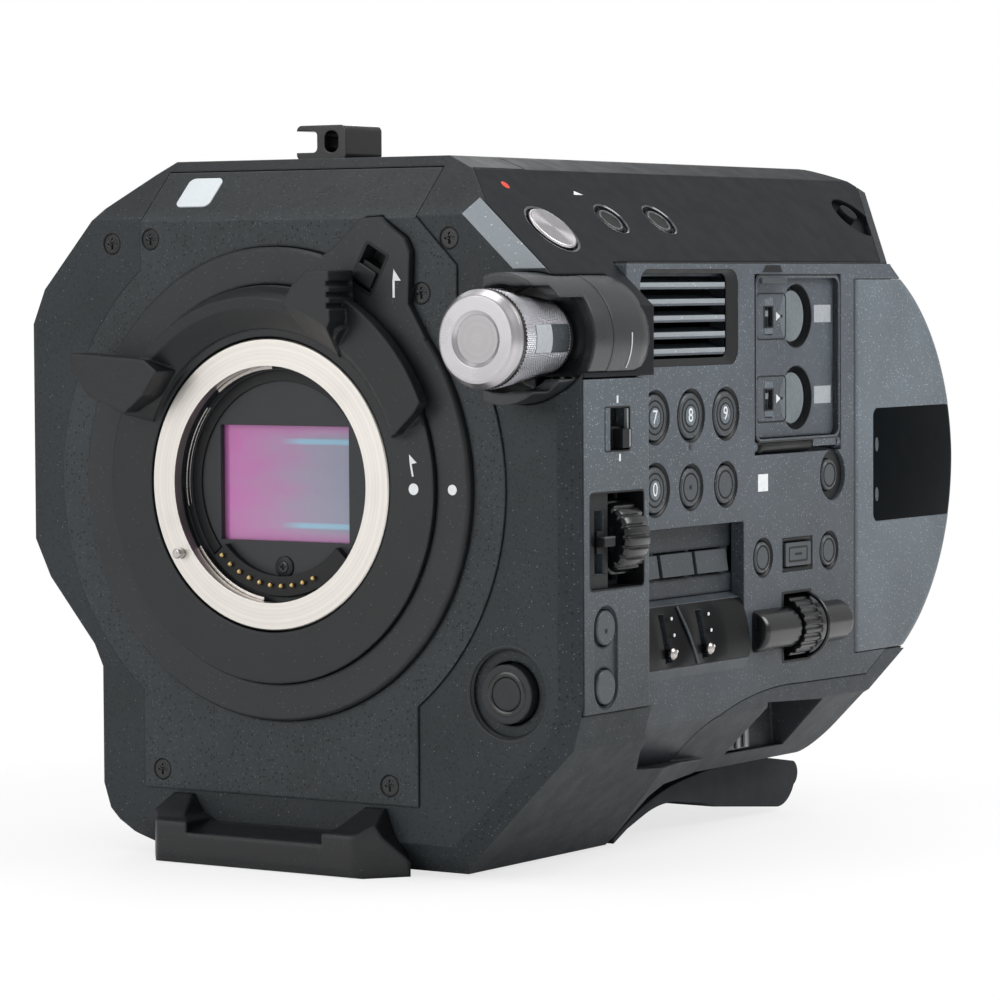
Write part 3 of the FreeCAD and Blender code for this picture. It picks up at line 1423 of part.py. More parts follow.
def make_side_panel():
    x0 = panel_ground()
    plate = arc_face_x(panel_outline(), x0).extrude(V(PANEL_T, 0, 0))
    plate = plate.cut(prism_y([
        (PANEL_X, FOLD_Z),
        (BIG, FOLD_Z + BIG - PANEL_X),
        (BIG, -BIG),
        (PANEL_X - BIG - FOLD_Z, -BIG),
    ], 0, BIG))
    # Below the bend the panel follows the sloping belly as a skin.
    skin = REAR.cut(inner_rear()).common(box(SKIRT_X, 0, -BIG, BIG, BIG, FOLD_Z + 0.5))
    plate = plate.fuse(skin.common(arc_face_x(panel_outline(), 0.0).extrude(V(BIG, 0, 0))))
    # Bores for the round buttons, each in a shallow well.
    for y, z, r in ROUND_BUTTONS.values():
        plate = plate.cut(cyl_x(r + 0.9, PANEL_X - 0.7, BIG, y, z))
        plate = plate.cut(cyl_x(r + GAP, x0 - 1, BIG, y, z))
    well = cyl_x(LITTLE_R + 2.2, PANEL_X - 1.2, BIG, SLOT_Y + 1.2, SLOT_Z)
    plate = plate.cut(well)
    plate = plate.cut(box(x0 - 1, MENU_Y - MENU_HALF_Y - GAP, MENU_ROW_Z - MENU_HALF_Z - GAP, BIG,
                          MENU_Y + MENU_HALF_Y + GAP, MENU_ROW_Z + MENU_HALF_Z + GAP))
    plate = plate.cut(box(PANEL_X - 0.5, MENU_Y - MENU_HALF_Y - 1.1, MENU_ROW_Z - MENU_HALF_Z - 1.1, BIG,
                          MENU_Y + MENU_HALF_Y + 1.1, MENU_ROW_Z + MENU_HALF_Z + 1.1))
    # Louvred intake.
    plate = plate.cut(rounded_x(VENT_Y0, VENT_Z0, VENT_Y1, VENT_Z1, x0 - 1, BIG, 3.0))
    plate = plate.fuse(vent_insert())
    # Recess with three keys above a sloping switch ledge.
    plate = plate.cut(box(x0 - 1, RECESS_Y0, RECESS_LOW_Z, BIG, RECESS_Y1, RECESS_TOP_Z))
    plate = plate.fuse(recess_tray())
    # Recess of the sound controls.
    plate = plate.cut(box(x0 - 1, AUDIO_Y0, AUDIO_Z0, BIG, AUDIO_Y1, AUDIO_Z1))
    plate = plate.fuse(audio_tray())
    # Slot of the select wheel.
    half_w = SELECT_W / 2 + SELECT_SIDE
    plate = plate.cut(box(x0 - 1, SELECT_Y - half_w, SELECT_Z - 7.2, BIG, SELECT_Y + half_w, SELECT_Z + 7.2))
    plate = plate.fuse(select_mount())
    # Pins of the card door.
    reach = DOOR_HALF_Z + 1.2
    for z0, z1 in ((DOOR_HALF_Z - 1.8, reach), (-reach, -DOOR_HALF_Z + 1.8)):
        plate = plate.fuse(cyl_z(DOOR_PIN_R, z0, z1, DOOR_HINGE_X, DOOR_HINGE_Y))
    return plate


def vent_insert():
    """The louvres behind the intake opening."""
    x0 = panel_ground()
    frame = rounded_x(VENT_Y0, VENT_Z0, VENT_Y1, VENT_Z1, x0 - 3.0, x0 + 0.5, 3.0)
    frame = frame.cut(rounded_x(VENT_Y0 + 1.4, VENT_Z0 + 1.4, VENT_Y1 - 1.4, VENT_Z1 - 1.4, x0 - 4, BIG, 2.0))
    blades = []
    count = 5
    pitch = (VENT_Z1 - VENT_Z0 - 2.8) / count
    for n in range(count):
        z = VENT_Z0 + 1.4 + pitch * (n + 0.5)
        blades.append(prism_y([
            (PANEL_X - 0.8, z - 0.9),
            (PANEL_X - 0.8, z - 0.1),
            (x0 - 2.6, z + 1.3),
            (x0 - 2.6, z + 0.5),
        ], VENT_Y0 + 0.5, VENT_Y1 - 0.5))
    return frame.fuse(blades)


def recess_tray():
    """The stepped tray that holds the keys and the two lever switches."""
    x0 = PANEL_X - RECESS_DEEP
    back = x0 - BED_T
    tray = prism_y([
        (PANEL_X - PANEL_T, RECESS_TOP_Z + 0.5),
        (back, RECESS_TOP_Z + 0.5),
        (back, RECESS_LOW_Z - 0.5),
        (PANEL_X - 1.0, RECESS_LOW_Z - 0.5),
        (PANEL_X - 1.0, RECESS_LOW_Z + 1.5),
        (PANEL_X + 1.2, -36.4),
        (PANEL_X - 1.2, -24.4),
        (x0 + 0.4, -23.2),
        (x0 + 0.4, -19.8),
        (x0 + 1.0, KEY_TOP_Z - KEY_H - 0.5),
        (x0, KEY_TOP_Z - KEY_H - 0.5),
        (x0, KEY_TOP_Z + 0.5),
        (x0 + 0.6, KEY_TOP_Z + 0.5),
        (x0 + 0.6, RECESS_TOP_Z - 0.2),
        (PANEL_X - PANEL_T, RECESS_TOP_Z),
    ], RECESS_Y0 - 0.5, RECESS_Y1 + 0.5)
    low = KEY_TOP_Z - KEY_H - GAP
    for n in range(len(KEYS)):
        y = KEY_Y0 + n * KEY_PITCH
        tray = tray.cut(box(back - 1, y - GAP, low, BIG, y + KEY_W + GAP, KEY_TOP_Z + GAP))
    half = LEVER_HALF_W + LEVER_END
    z0 = LEVER_LOW_Z - LEVER_END
    z1 = LEVER_LOW_Z + LEVER_FOOT_H + LEVER_TRAVEL + LEVER_END
    for y in LEVER_Y:
        tray = tray.cut(box(PANEL_X - LEVER_DEEP, y - half, z0, BIG, y + half, z1))
    return tray


def lever_switch(y):
    """A small lever in the sloping ledge."""
    low = PANEL_X - LEVER_DEEP + SEAM
    half = LEVER_HALF_W + 0.2
    foot = box(low, y - half, LEVER_LOW_Z, PANEL_X - 2.2, y + half, LEVER_LOW_Z + LEVER_FOOT_H)
    z = LEVER_LOW_Z + 0.5
    stem = box(PANEL_X - 3.0, y - LEVER_HALF_W, z, PANEL_X + 2.2, y + LEVER_HALF_W, z + 1.8)
    return foot.fuse(stem)


def make_key(index):
    y = KEY_Y0 + index * KEY_PITCH
    x0 = PANEL_X - RECESS_DEEP
    return prism_y([
        (x0 - BED_T, KEY_TOP_Z),
        (x0 - BED_T, KEY_TOP_Z - KEY_H),
        (x0 + 2.2, KEY_TOP_Z - KEY_H),
        (x0 + 1.5, KEY_TOP_Z),
    ], y, y + KEY_W)


def audio_tray():
    """The tray under the sound door."""
    x0 = panel_ground()
    bed_x = PANEL_X - AUDIO_DEEP
    tray = box(bed_x - BED_T, AUDIO_Y0 - 0.5, AUDIO_Z0 - 0.5, bed_x, AUDIO_Y1 + 0.5, AUDIO_Z1 + 0.5)
    wall = box(bed_x - 0.5, AUDIO_Y0 - 0.5, AUDIO_Z0 - 0.5, x0 + 0.5, AUDIO_Y1 + 0.5, AUDIO_Z1 + 0.5)
    wall = wall.cut(box(bed_x - 1, AUDIO_Y0 + 0.5, AUDIO_Z0 + 0.5, BIG, AUDIO_Y1 - 0.5, AUDIO_Z1 - 0.5))
    rise = PANEL_X - AUDIO_DOOR_T - 1.2
    island = box(bed_x - 0.5, AUDIO_Y0 + 0.4, AUDIO_Z0 + 4.6, rise, AUDIO_Y1 - 0.4, AUDIO_Z1 - 0.4)
    for z in AUDIO_DIAL_Z:
        island = island.cut(cyl_x(AUDIO_DIAL_R + 1.5, bed_x, BIG, AUDIO_DIAL_Y + 1.2, z))
    tray = tray.fuse([wall, island])
    for z in AUDIO_DIAL_Z:
        tray = tray.cut(cyl_x(1.5 + RUN_FIT, bed_x - BED_T - 1, BIG, AUDIO_DIAL_Y, z))
        tray = tray.cut(box(bed_x + 0.2, AUDIO_SWITCH_Y - 1.4, z - 3.4, BIG, AUDIO_SWITCH_Y + 1.4, z + 3.4))
    # Bearings of the door's hinge bar.
    ears = []
    for y in (AUDIO_Y0, AUDIO_Y1 - 1.4):
        ears.append(cyl_y(AUDIO_HINGE_R, y, y + 1.4, PANEL_X - 1.5, AUDIO_Z0 + 1.7))
    pin = cyl_y(0.6, AUDIO_Y0 + 0.5, AUDIO_Y1 - 0.5, PANEL_X - 1.5, AUDIO_Z0 + 1.7)
    return tray.fuse(ears + [pin])


def make_audio_door():
    x1 = PANEL_X
    x0 = PANEL_X - AUDIO_DOOR_T
    low = AUDIO_Z0 + 1.7
    leaf = rounded_x(AUDIO_Y0 + 0.4, low, AUDIO_Y1 - 0.4, AUDIO_Z1 - 0.3, x0, x1, 0.5)
    leaf = leaf.cut(box(x0 - 1, 0, low - 5, BIG, BIG, low + 1.6))
    bar = cyl_y(AUDIO_HINGE_R, AUDIO_Y0 + 1.4 + GAP, AUDIO_Y1 - 1.4 - GAP, PANEL_X - 1.5, low)
    web = box(x0, AUDIO_Y0 + 2.4, low, x1 - 0.2, AUDIO_Y1 - 2.4, low + 2.0)
    door = leaf.fuse([bar, web])
    door = door.cut(cyl_y(0.6 + RUN_FIT, 0, BIG, PANEL_X - 1.5, low))
    lip = box(x0, 82.0, AUDIO_Z1 - 2.0, x1 + 0.5, 92.4, AUDIO_Z1 - 0.8)
    return door.fuse(lip)


def make_audio_dial(index):
    z = AUDIO_DIAL_Z[index]
    bed_x = PANEL_X - AUDIO_DEEP
    head = cyl_x(AUDIO_DIAL_R, bed_x + 0.3, PANEL_X - AUDIO_DOOR_T - 0.7, AUDIO_DIAL_Y, z)
    notch = box(bed_x + 1.6, AUDIO_DIAL_Y - AUDIO_DIAL_R - 1, z - 0.3, BIG, AUDIO_DIAL_Y - 3.4, z + 0.3)
    stem = cyl_x(1.5, bed_x - BED_T, bed_x + 1.0, AUDIO_DIAL_Y, z)
    return head.cut(notch).fuse(stem)


def make_audio_switch(index):
    z = AUDIO_DIAL_Z[index]
    bed_x = PANEL_X - AUDIO_DEEP
    y = AUDIO_SWITCH_Y
    foot = box(bed_x + GAP, y - 1.1, z - 1.0, bed_x + 1.2, y + 1.1, z + 1.3)
    knob = box(bed_x + 0.8, y - 1.0, z, PANEL_X - AUDIO_DOOR_T - 0.8, y + 1.0, z + 1.2)
    return foot.fuse(knob)


def select_mount():
    """The well, axle and end guards of the select wheel."""
    x0 = panel_ground()
    half_w = SELECT_W / 2 + SELECT_SIDE
    axle_x = PANEL_X + SELECT_OUT - SELECT_R
    back = axle_x - SELECT_R - 0.8
    half_z = SELECT_R + 1.0
    y0 = SELECT_Y - half_w
    y1 = SELECT_Y + half_w
    well = box(back - 1.0, y0 - 1.0, SELECT_Z - half_z - 1.0, x0 + 0.5, y1 + 1.0, SELECT_Z + half_z + 1.0)
    well = well.cut(box(back, y0, SELECT_Z - half_z, BIG, y1, SELECT_Z + half_z))
    axle = cyl_y(WHEEL_AXLE_R, SELECT_Y - half_w - 0.6, SELECT_Y + half_w + 0.6, axle_x, SELECT_Z)
    guards = []
    for side in (-1, 1):
        start = SELECT_Y + side * (SELECT_W / 2 + GAP + 0.3)
        end = SELECT_Y + side * GUARD_END
        bar = cyl_y(4.2, min(start, end), max(start, end), PANEL_X - 0.6, SELECT_Z)
        tip = [e for e in bar.Edges if e.Curve.TypeId == "Part::GeomCircle"
               and abs(e.CenterOfMass.y - end) < 0.1]
        bar = bar.makeFillet(1.0, tip)
        guards.append(bar.common(box(x0 + 0.2, 0, -BIG, BIG, BIG, BIG)))
    return well.fuse([axle] + guards)


def make_select_wheel():
    x = PANEL_X + SELECT_OUT - SELECT_R
    half = SELECT_W / 2
    wheel = ribbed_y(SELECT_R, SELECT_Y - half, SELECT_Y + half, x, SELECT_Z, SELECT_RIBS, 0.55)
    return wheel.cut(cyl_y(WHEEL_AXLE_R + RUN_FIT, 0, BIG, x, SELECT_Z))


def round_button(name):
    y, z, r = ROUND_BUTTONS[name]
    return side_button(r, y, z, PANEL_X, panel_ground() + SEAT, -0.1)


def make_menu_button():
    back = panel_ground() + SEAT
    y0 = MENU_Y - MENU_HALF_Y
    y1 = MENU_Y + MENU_HALF_Y
    return rounded_x(y0, MENU_ROW_Z - MENU_HALF_Z, y1, MENU_ROW_Z + MENU_HALF_Z, back, PANEL_X + 0.2, 0.5)


# Card door, skirt and rear

def door_form(inset):
    """The card door's outer form, moved inwards all round."""
    face = arc_face_x(door_profile(), PANEL_X - DOOR_DEEP).extrude(V(DOOR_DEEP - inset, 0, 0))
    low = DOOR_HALF_Z - inset
    block = box(0, DOOR_SEAM_Y + inset, -low, BIG, BIG, low)
    return face.common(block)


def make_media_door():
    form = door_form(0.0)
    form = form.makeFillet(DOOR_EDGE_R, outer_arcs(form, PANEL_X))
    # A shallow seat for the window that wraps round the rear edge.
    seat = arc_face_x(door_profile(PANE_T), 0.0).extrude(V(PANEL_X - PANE_T, 0, 0))
    seat = seat.common(box(0, DOOR_SEAM_Y, -DOOR_HALF_Z, BIG, BIG, DOOR_HALF_Z))
    seat = seat.makeFillet(DOOR_EDGE_R - PANE_T, outer_arcs(seat, PANEL_X - PANE_T))
    form = form.cut(box(PANEL_X - 9.0, PANE_Y, -PANE_HALF_Z, BIG, BIG, PANE_HALF_Z).cut(seat))
    hollow = door_form(DOOR_WALL).common(box(0, 0, -BIG, PANEL_X - DOOR_WALL, REAR_Y - 9.0, BIG))
    trimmed = hollow.copy()
    trimmed.translate(V(0, -1.6, 0))
    form = form.cut(trimmed)
    form = form.cut(box(0, 0, -BIG, PANEL_X - DOOR_DEEP + 0.1, BIG, BIG))
    # The front edge is round about the hinge, so that it clears the panel.
    form = form.cut(box(0, 0, -BIG, DOOR_HINGE_X - DOOR_ROUND, DOOR_HINGE_Y + 2.2, BIG))
    form = form.cut(box(0, 0, -BIG, BIG, DOOR_HINGE_Y, BIG))
    form = form.fuse(cyl_z(DOOR_ROUND, -DOOR_HALF_Z, DOOR_HALF_Z, DOOR_HINGE_X, DOOR_HINGE_Y))
    return form.cut(cyl_z(DOOR_PIN_R + RUN_FIT, -BIG, BIG, DOOR_HINGE_X, DOOR_HINGE_Y))


def skirt_form():
    """The closed form of the skirt under the control panel."""
    region = arc_face_x([
        (SKIRT_SEAM_END + SEAM, -BIG),
        (62.0 + SEAM, -54.0),
        ((62.8 + SEAM, -50.0 - SEAM), (65.6 + SEAM, -47.6 - SEAM)),
        ((79.0, -44.6 - SEAM), (98.0, -43.6 - SEAM)),
        (PANEL_FOOT[1][0] + SEAM, PANEL_FOOT[1][1] - SEAM),
        (PANEL_FOOT[0][0], -DOOR_HALF_Z - 2 * SEAM),
        (BIG, -DOOR_HALF_Z - 2 * SEAM),
        (BIG, -BIG),
    ], 0.0).extrude(V(BIG, 0, 0))
    return REAR.common(region).common(box(SKIRT_X, 0, -BIG, BIG, BIG, BIG))


def under_plane(a, b, c):
    """What lies behind the plane through three points, seen from the control side."""
    normal = (b - a).cross(c - a)
    if normal.x < 0:
        normal = normal * -1
    slab = Part.makeBox(BIG, BIG, 60.0, V(-BIG / 2, -BIG / 2, -60.0))
    slab.Placement = FreeCAD.Placement(a, FreeCAD.Rotation(V(0, 0, 1), normal))
    return slab


def skirt_fin():
    """The narrow end of the skirt that runs down beside the toe."""
    ridge = [(y + SEAM, z) for y, z in RIDGE]
    fin = prism_x(ridge + FIN_LOW + [(78.3, -58.0), (62.0, -56.9)], FIN_INNER_X, BIG / 2)
    top = V(FACET_SUM + RIDGE[0][1], *RIDGE[0])
    foot = V(FACET_SUM + RIDGE[-1][1], *RIDGE[-1])
    back = V(PANEL_X - FOLD_Z + FIN_LOW[-1][1], *FIN_LOW[-1])
    return fin.common(under_plane(top, foot, back)).cut(REAR)


def make_lower_skirt():
    form = skirt_form()
    hollow = inner_rear().common(box(SKIRT_X - 1, 0, -BIG, BIG, BIG, BIG))
    skirt = form.cut(hollow)
    y0, y1 = CUT_OUT[0][0] - 2.0, CUT_OUT[-1][0] + 2.0
    pocket = box(SKIRT_X, y0, BELLY_Z, PANEL_X - 6.0, y1, -43.8 - SEAM).common(form)
    skirt = skirt.fuse([pocket, skirt_fin()])
    return skirt.cut(prism_x(CUT_OUT, CUT_FLOOR_X, BIG))


def make_rear_shell():
    t = SHELL_T
    shell = REAR.cut(inner_rear())
    # The control side is closed by other covers.
    above = box(TOP_HALF_X, 0, PANEL_TOP_Z + SEAM - 3.0, BIG, BIG, BIG)
    shell = shell.cut(above.cut(rear_corner(SHELL_T - SEAM, SHELL_T)))
    shell = shell.cut(arc_face_x(panel_outline(), panel_ground() - SEAM).extrude(V(BIG, 0, 0)))
    half_z = DOOR_HALF_Z + SEAM
    room = box(PANEL_X - DOOR_DEEP - SEAM, DOOR_SEAM_Y - SEAM, -half_z, BIG, BIG, half_z)
    shell = shell.cut(door_form(-SEAM).fuse(room))
    shell = shell.cut(box(SKIRT_X - SEAM, 0, -BIG, BIG, BIG, -DOOR_HALF_Z - SEAM))
    shell = shell.cut(box(TOP_HALF_X + 6, 0, -DOOR_HALF_Z - SEAM, BIG, DOOR_SEAM_Y - 12.0, BIG))
    shell = shell.cut(prism_x([
        (0.0, DOOR_HALF_Z - 2.0),
        (PANEL_END_Y + SEAM, DOOR_HALF_Z - 2.0),
        (PANEL_END_Y + SEAM, DOOR_HALF_Z + SEAM),
        (PANEL_CORNER_Y + SEAM, PANEL_TOP_Z + SEAM),
        (PANEL_CORNER_Y + SEAM, BIG),
        (0.0, BIG),
    ], PANEL_X - 6.0, BIG))
    # Battery bay.
    bay_x1 = BAY_X + BAY_W
    bay_z1 = BAY_LOW_Z + BAY_H
    w = BAY_WALL
    back = REAR_Y - BAY_DEPTH
    bay = box(BAY_X - w, back - w, BAY_LOW_Z - w, bay_x1 + w, REAR_Y - t + 0.5, bay_z1 + w)
    shell = shell.fuse(bay.common(REAR))
    shell = shell.cut(box(BAY_X, back, BAY_LOW_Z, bay_x1, BIG, bay_z1))
    # Threads on top for a handle.
    for y in TOP_THREADS_Y:
        boss = cyl_z(6.0, TOP_Z - 8.0, TOP_Z - 1.0, 0.0, y)
        shell = shell.fuse(boss)
        shell = shell.cut(cyl_z(QUARTER_INCH_R, TOP_Z - 7.0, TOP_Z + 1, 0.0, y))
    # Rosette for a grip arm on the far side.
    rosette = cyl_x(ROSETTE_R, LEFT_X - 2.4, LEFT_X + 6.0, ROSETTE_Y, ROSETTE_Z)
    shell = shell.fuse(rosette)
    shell = shell.cut(cyl_x(M6_R, LEFT_X - 5, LEFT_X + 4.6, ROSETTE_Y, ROSETTE_Z))
    shell = shell.cut(cyl_x(6.5, LEFT_X - 5, LEFT_X - 1.6, ROSETTE_Y, ROSETTE_Z))
    # Two sound inputs.
    for z in INPUT_Z:
        tube = cyl_x(INPUT_R + 2.0, LEFT_X - 1.0, LEFT_X + INPUT_DEEP + 2.0, INPUT_Y, z)
        shell = shell.fuse(tube)
        shell = shell.cut(cyl_x(INPUT_R, LEFT_X - 2, LEFT_X + INPUT_DEEP, INPUT_Y, z))
    # Outlet louvres.
    for n in range(OUTLET_SLITS):
        z = OUTLET_Z + n * OUTLET_PITCH
        shell = shell.cut(box(LEFT_X - 5, OUTLET_Y, z, LEFT_X + t + 1, OUTLET_Y + OUTLET_L, z + OUTLET_H))
    # Rail under the belly for the shoulder pad.
    rail_low = BELLY_Z - RAIL_NECK_T
    bar = box(-RAIL_HALF_X, RAIL_FRONT_Y, rail_low - RAIL_T, RAIL_HALF_X, RAIL_REAR_Y, rail_low)
    neck = box(-RAIL_NECK_X, RAIL_FRONT_Y, rail_low - 0.5, RAIL_NECK_X, RAIL_REAR_Y, BELLY_Z + 4.6)
    shell = shell.fuse([bar, neck])
    return shell.cut(latch_room(SEAM))


def latch_room(grow):
    """Room for the battery release."""
    half_x = LATCH_HALF_X + grow
    half_z = LATCH_HALF_Z + grow
    return box(LATCH_X - half_x, REAR_Y - SHELL_T - 1, LATCH_Z - half_z,
               LATCH_X + half_x, REAR_Y + 5, LATCH_Z + half_z)


def make_battery_latch():
    x0 = LATCH_X - LATCH_HALF_X + SEAM
    x1 = LATCH_X + LATCH_HALF_X - SEAM
    low = LATCH_Z - LATCH_HALF_Z + LATCH_TRAVEL + 0.6
    plate = box(x0, REAR_Y - SHELL_T + GAP, low, x1, REAR_Y - GAP, LATCH_Z + LATCH_HALF_Z - 0.4)
    ribs = []
    for n in range(LATCH_RIBS):
        z = low + LATCH_RIB_H + n * 2 * LATCH_RIB_H
        ribs.append(box(x0 + 0.8, REAR_Y - 0.5, z, x1 - 0.8, REAR_Y + 1.0, z + LATCH_RIB_H))
    return plate.fuse(ribs)


# Inside

def make_inner_frame():
    """A bulkhead behind the sensor and a long wall for the main board."""
    room = [
        (28.0, 57.6),
        (SLOPE_TOP_X - 5.4, SLOPE_TOP_Z - 5.4),
        (50.0, 44.0),
        (50.0, -44.0),
        (36.0, BASE_Z + 10.0),
        (-34.0, BASE_Z + 10.0),
        (-39.6, -58.0),
        (-39.6, -36.0),
        (-52.0, -18.0),
        (-56.6, -10.0),
        (-56.6, 28.0),
        (-41.0, 50.0),
        (-28.0, 57.6),
    ]
    bulkhead = prism_y(room, FRAME_Y, FRAME_Y + FRAME_T)
    bulkhead = bulkhead.cut(box(-14.0, 0, -10.0, 14.0, BIG, 10.0))
    wall_end = REAR_Y - BAY_DEPTH - BAY_WALL - GAP
    wall = prism_x([
        (FRAME_Y, -WALL_HALF_Z),
        (92.0, -WALL_HALF_Z),
        (wall_end, -32.0),
        (wall_end, WALL_HALF_Z),
        (FRAME_Y, WALL_HALF_Z),
    ], WALL_X, WALL_X + FRAME_T)
    posts = []
    board_back = SENSOR_Y + SENSOR_LIFT + SENSOR_BOARD_T
    half_x, half_z = SENSOR_BOARD_HALF
    for x in (4.0 - half_x, half_x - 4.0):
        for z in (4.0 - half_z, half_z - 4.0):
            posts.append(cyl_y(POST_R, board_back, FRAME_Y + 0.5, x, z))
    for y in BOARD_POSTS_Y:
        for z in (-POST_HALF_Z, POST_HALF_Z):
            posts.append(cyl_x(POST_R, WALL_X + FRAME_T - 0.5, BOARD_X, y, z))
    feet = []
    x0 = WALL_X - 1.0
    x1 = WALL_X + FRAME_T + 1.0
    for y in FOOT_PLACES_Y:
        feet.append(box(x0, y, BELLY_Z + SHELL_T, x1, y + 8.0, 1.0 - WALL_HALF_Z))
        feet.append(box(x0, y, WALL_HALF_Z - 1.0, x1, y + 8.0, TOP_Z - SHELL_T))
    x, z = idler_centre()
    bulkhead = bulkhead.fuse(cyl_y(AXLE_R + 2.5, FRAME_Y - 4.0, FRAME_Y + FRAME_T, x, z))
    bulkhead = bulkhead.fuse([wall] + posts + feet)
    return bulkhead.cut(cyl_y(AXLE_R + RUN_FIT, FRAME_Y - 5.0, FRAME_Y + FRAME_T + 1, x, z))


def make_circuit_boards():
    front = SENSOR_Y + SENSOR_LIFT
    w, h = SENSOR_BOARD_HALF
    sensor_board = box(-w, front, -h, w, front + SENSOR_BOARD_T, h)
    w, h = SENSOR_HALF
    sensor = box(-w, SENSOR_Y, -h, w, front + SEAT, h)
    face = BOARD_X + BOARD_T
    board = box(BOARD_X, BOARD_Y[0], -BOARD_HALF_Z, face, BOARD_Y[1], BOARD_HALF_Z)
    chips = []
    for y0, y1, z0, z1, high in CHIP_PLACES:
        chips.append(box(face - SEAT, y0, z0, face + high, y1, z1))
    main = board.fuse(chips)
    return Part.makeCompound([sensor_board.fuse(sensor), main])


def make_card_unit():
    """Two card slots behind the card door."""
    x1 = PANEL_X - DOOR_DEEP - 1.0
    y0, y1 = CARD_BLOCK_Y
    z0, z1 = CARD_BLOCK_Z
    block = box(WALL_X + FRAME_T + GAP, y0, z0, x1, y1, z1)
    slots = [box(x1 - CARD_DEEP, 0, z, BIG, BIG, z + CARD_SLOT) for z in CARD_Z]
    return block.cut(slots)


# Base

def make_base_plate():
    top = BASE_Z + TRIPOD_T - SEAT
    plate = box(-TRIPOD_HALF_X, TRIPOD_Y, BASE_Z, TRIPOD_HALF_X, TRIPOD_Y + TRIPOD_L, top)
    edges = [e for e in plate.Edges if abs(e.tangentAt(e.FirstParameter).z) > 0.9]
    plate = plate.makeFillet(3.0, edges)
    deep = BASE_Z + TRIPOD_T - 1.0
    plate = plate.cut(cyl_z(QUARTER_INCH_R, BASE_Z - 1, deep, 0.0, TRIPOD_QUARTER_Y))
    return plate.cut(cyl_z(THREE_EIGHTHS_R, BASE_Z - 1, deep, 0.0, TRIPOD_EIGHTHS_Y))


def mirrored(points):
    """The same outline on the grip side."""
    return [(-x, z) for x, z in points]


def make_front_foot():
    """A dark cradle that stands out under the front plate."""
    back = FACE_Y - SEAT
    plan = [
        (-FOOT_HALF_BACK, back),
        (-FOOT_HALF_FRONT, FOOT_FRONT_Y),
        (FOOT_HALF_FRONT, FOOT_FRONT_Y),
        (FOOT_HALF_BACK, back),
    ]
    block = prism_z(plan, FOOT_LOW_Z, FOOT_TOP_Z)
    front = [e for e in block.Edges if e.BoundBox.YMax < FOOT_FRONT_Y + 0.01
             and e.BoundBox.ZMin < FOOT_TOP_Z - 1]
    block = block.makeFillet(FOOT_EDGE_R, front)
    # The horns rise to the back and the middle dips.
    block = block.cut(prism_x([
        (FOOT_FRONT_Y - 1.0, -66.8),
        (FOOT_FRONT_Y + 1.6, -65.8),
        (back - 0.8, FOOT_TOP_Z),
        (back - 0.8, -50.0),
        (FOOT_FRONT_Y - 1.0, -50.0),
    ], -BIG, BIG))
    slope = [(21.2, FOOT_TOP_Z + 1), (21.0, FOOT_TOP_Z), (18.6, -65.3), (15.2, -66.9)]
    trough = prism_y(mirrored(slope) + slope[::-1], FOOT_FRONT_Y - 2, FACE_Y)
    dip = prism_x([
        (FOOT_FRONT_Y - 2.0, -68.6),
        (FOOT_FRONT_Y + 1.6, -68.2),
        (FACE_Y, -66.2),
        (FACE_Y, -60.0),
        (FOOT_FRONT_Y - 2.0, -60.0),
    ], -16.4, 16.4)
    flank = [(25.2, FOOT_TOP_Z + 1), (25.4, FOOT_TOP_Z), (27.4, -66.8), (31.6, -72.6)]
    flank += [(40.0, -72.6), (40.0, -60.0)]
    cuts = [prism_y(points, FOOT_FRONT_Y - 2, FACE_Y) for points in (flank, mirrored(flank))]
    return block.cut([trough, dip] + cuts)


def make_shoulder_pad():
    """An arched pad that slides on the rail."""
    side = arc_face_x([
        (PAD_FRONT_Y, PAD_TIP_Z),
        ((PAD_FRONT_Y + 14.6, PAD_TIP_Z + 6.5), (PAD_FRONT_Y + 30.4, PAD_TOP_Z - 1.3)),
        ((PAD_FRONT_Y + 46.0, PAD_TOP_Z), (PAD_REAR_Y - 11.6, PAD_TOP_Z - 0.6)),
        (PAD_REAR_Y - 1.9, PAD_TOP_Z - 2.1),
        ((PAD_REAR_Y, PAD_TOP_Z - 4.2), (PAD_REAR_Y - 1.6, PAD_TOP_Z - 7.2)),
        ((PAD_REAR_Y - 4.4, PAD_LOW_Z + 1.1), (PAD_REAR_Y - 9.0, PAD_LOW_Z)),
        (PAD_REAR_Y - 36.0, PAD_LOW_Z + 2.9),
        (PAD_REAR_Y - 39.2, PAD_LOW_Z + 4.0),
        (PAD_FRONT_Y + 28.4, PAD_ARCH_Z - 0.7),
        ((PAD_FRONT_Y + 19.8, PAD_ARCH_Z), (PAD_FRONT_Y + 11.4, PAD_ARCH_Z - 1.6)),
        (PAD_FRONT_Y + 5.2, PAD_ARCH_Z - 3.6),
        (PAD_FRONT_Y, PAD_TIP_Z - 0.8),
    ], -PAD_HALF_X).extrude(V(2 * PAD_HALF_X, 0, 0))
    lip_low = BELLY_Z - RAIL_NECK_T + GAP
    bar_low = BELLY_Z - RAIL_NECK_T - RAIL_T - GAP
    bar = box(-RAIL_HALF_X - GAP, 0, bar_low, RAIL_HALF_X + GAP, BIG, lip_low)
    neck = box(-RAIL_NECK_X - GAP, 0, lip_low - GAP, RAIL_NECK_X + GAP, BIG, BELLY_Z)
    return side.cut([bar, neck])


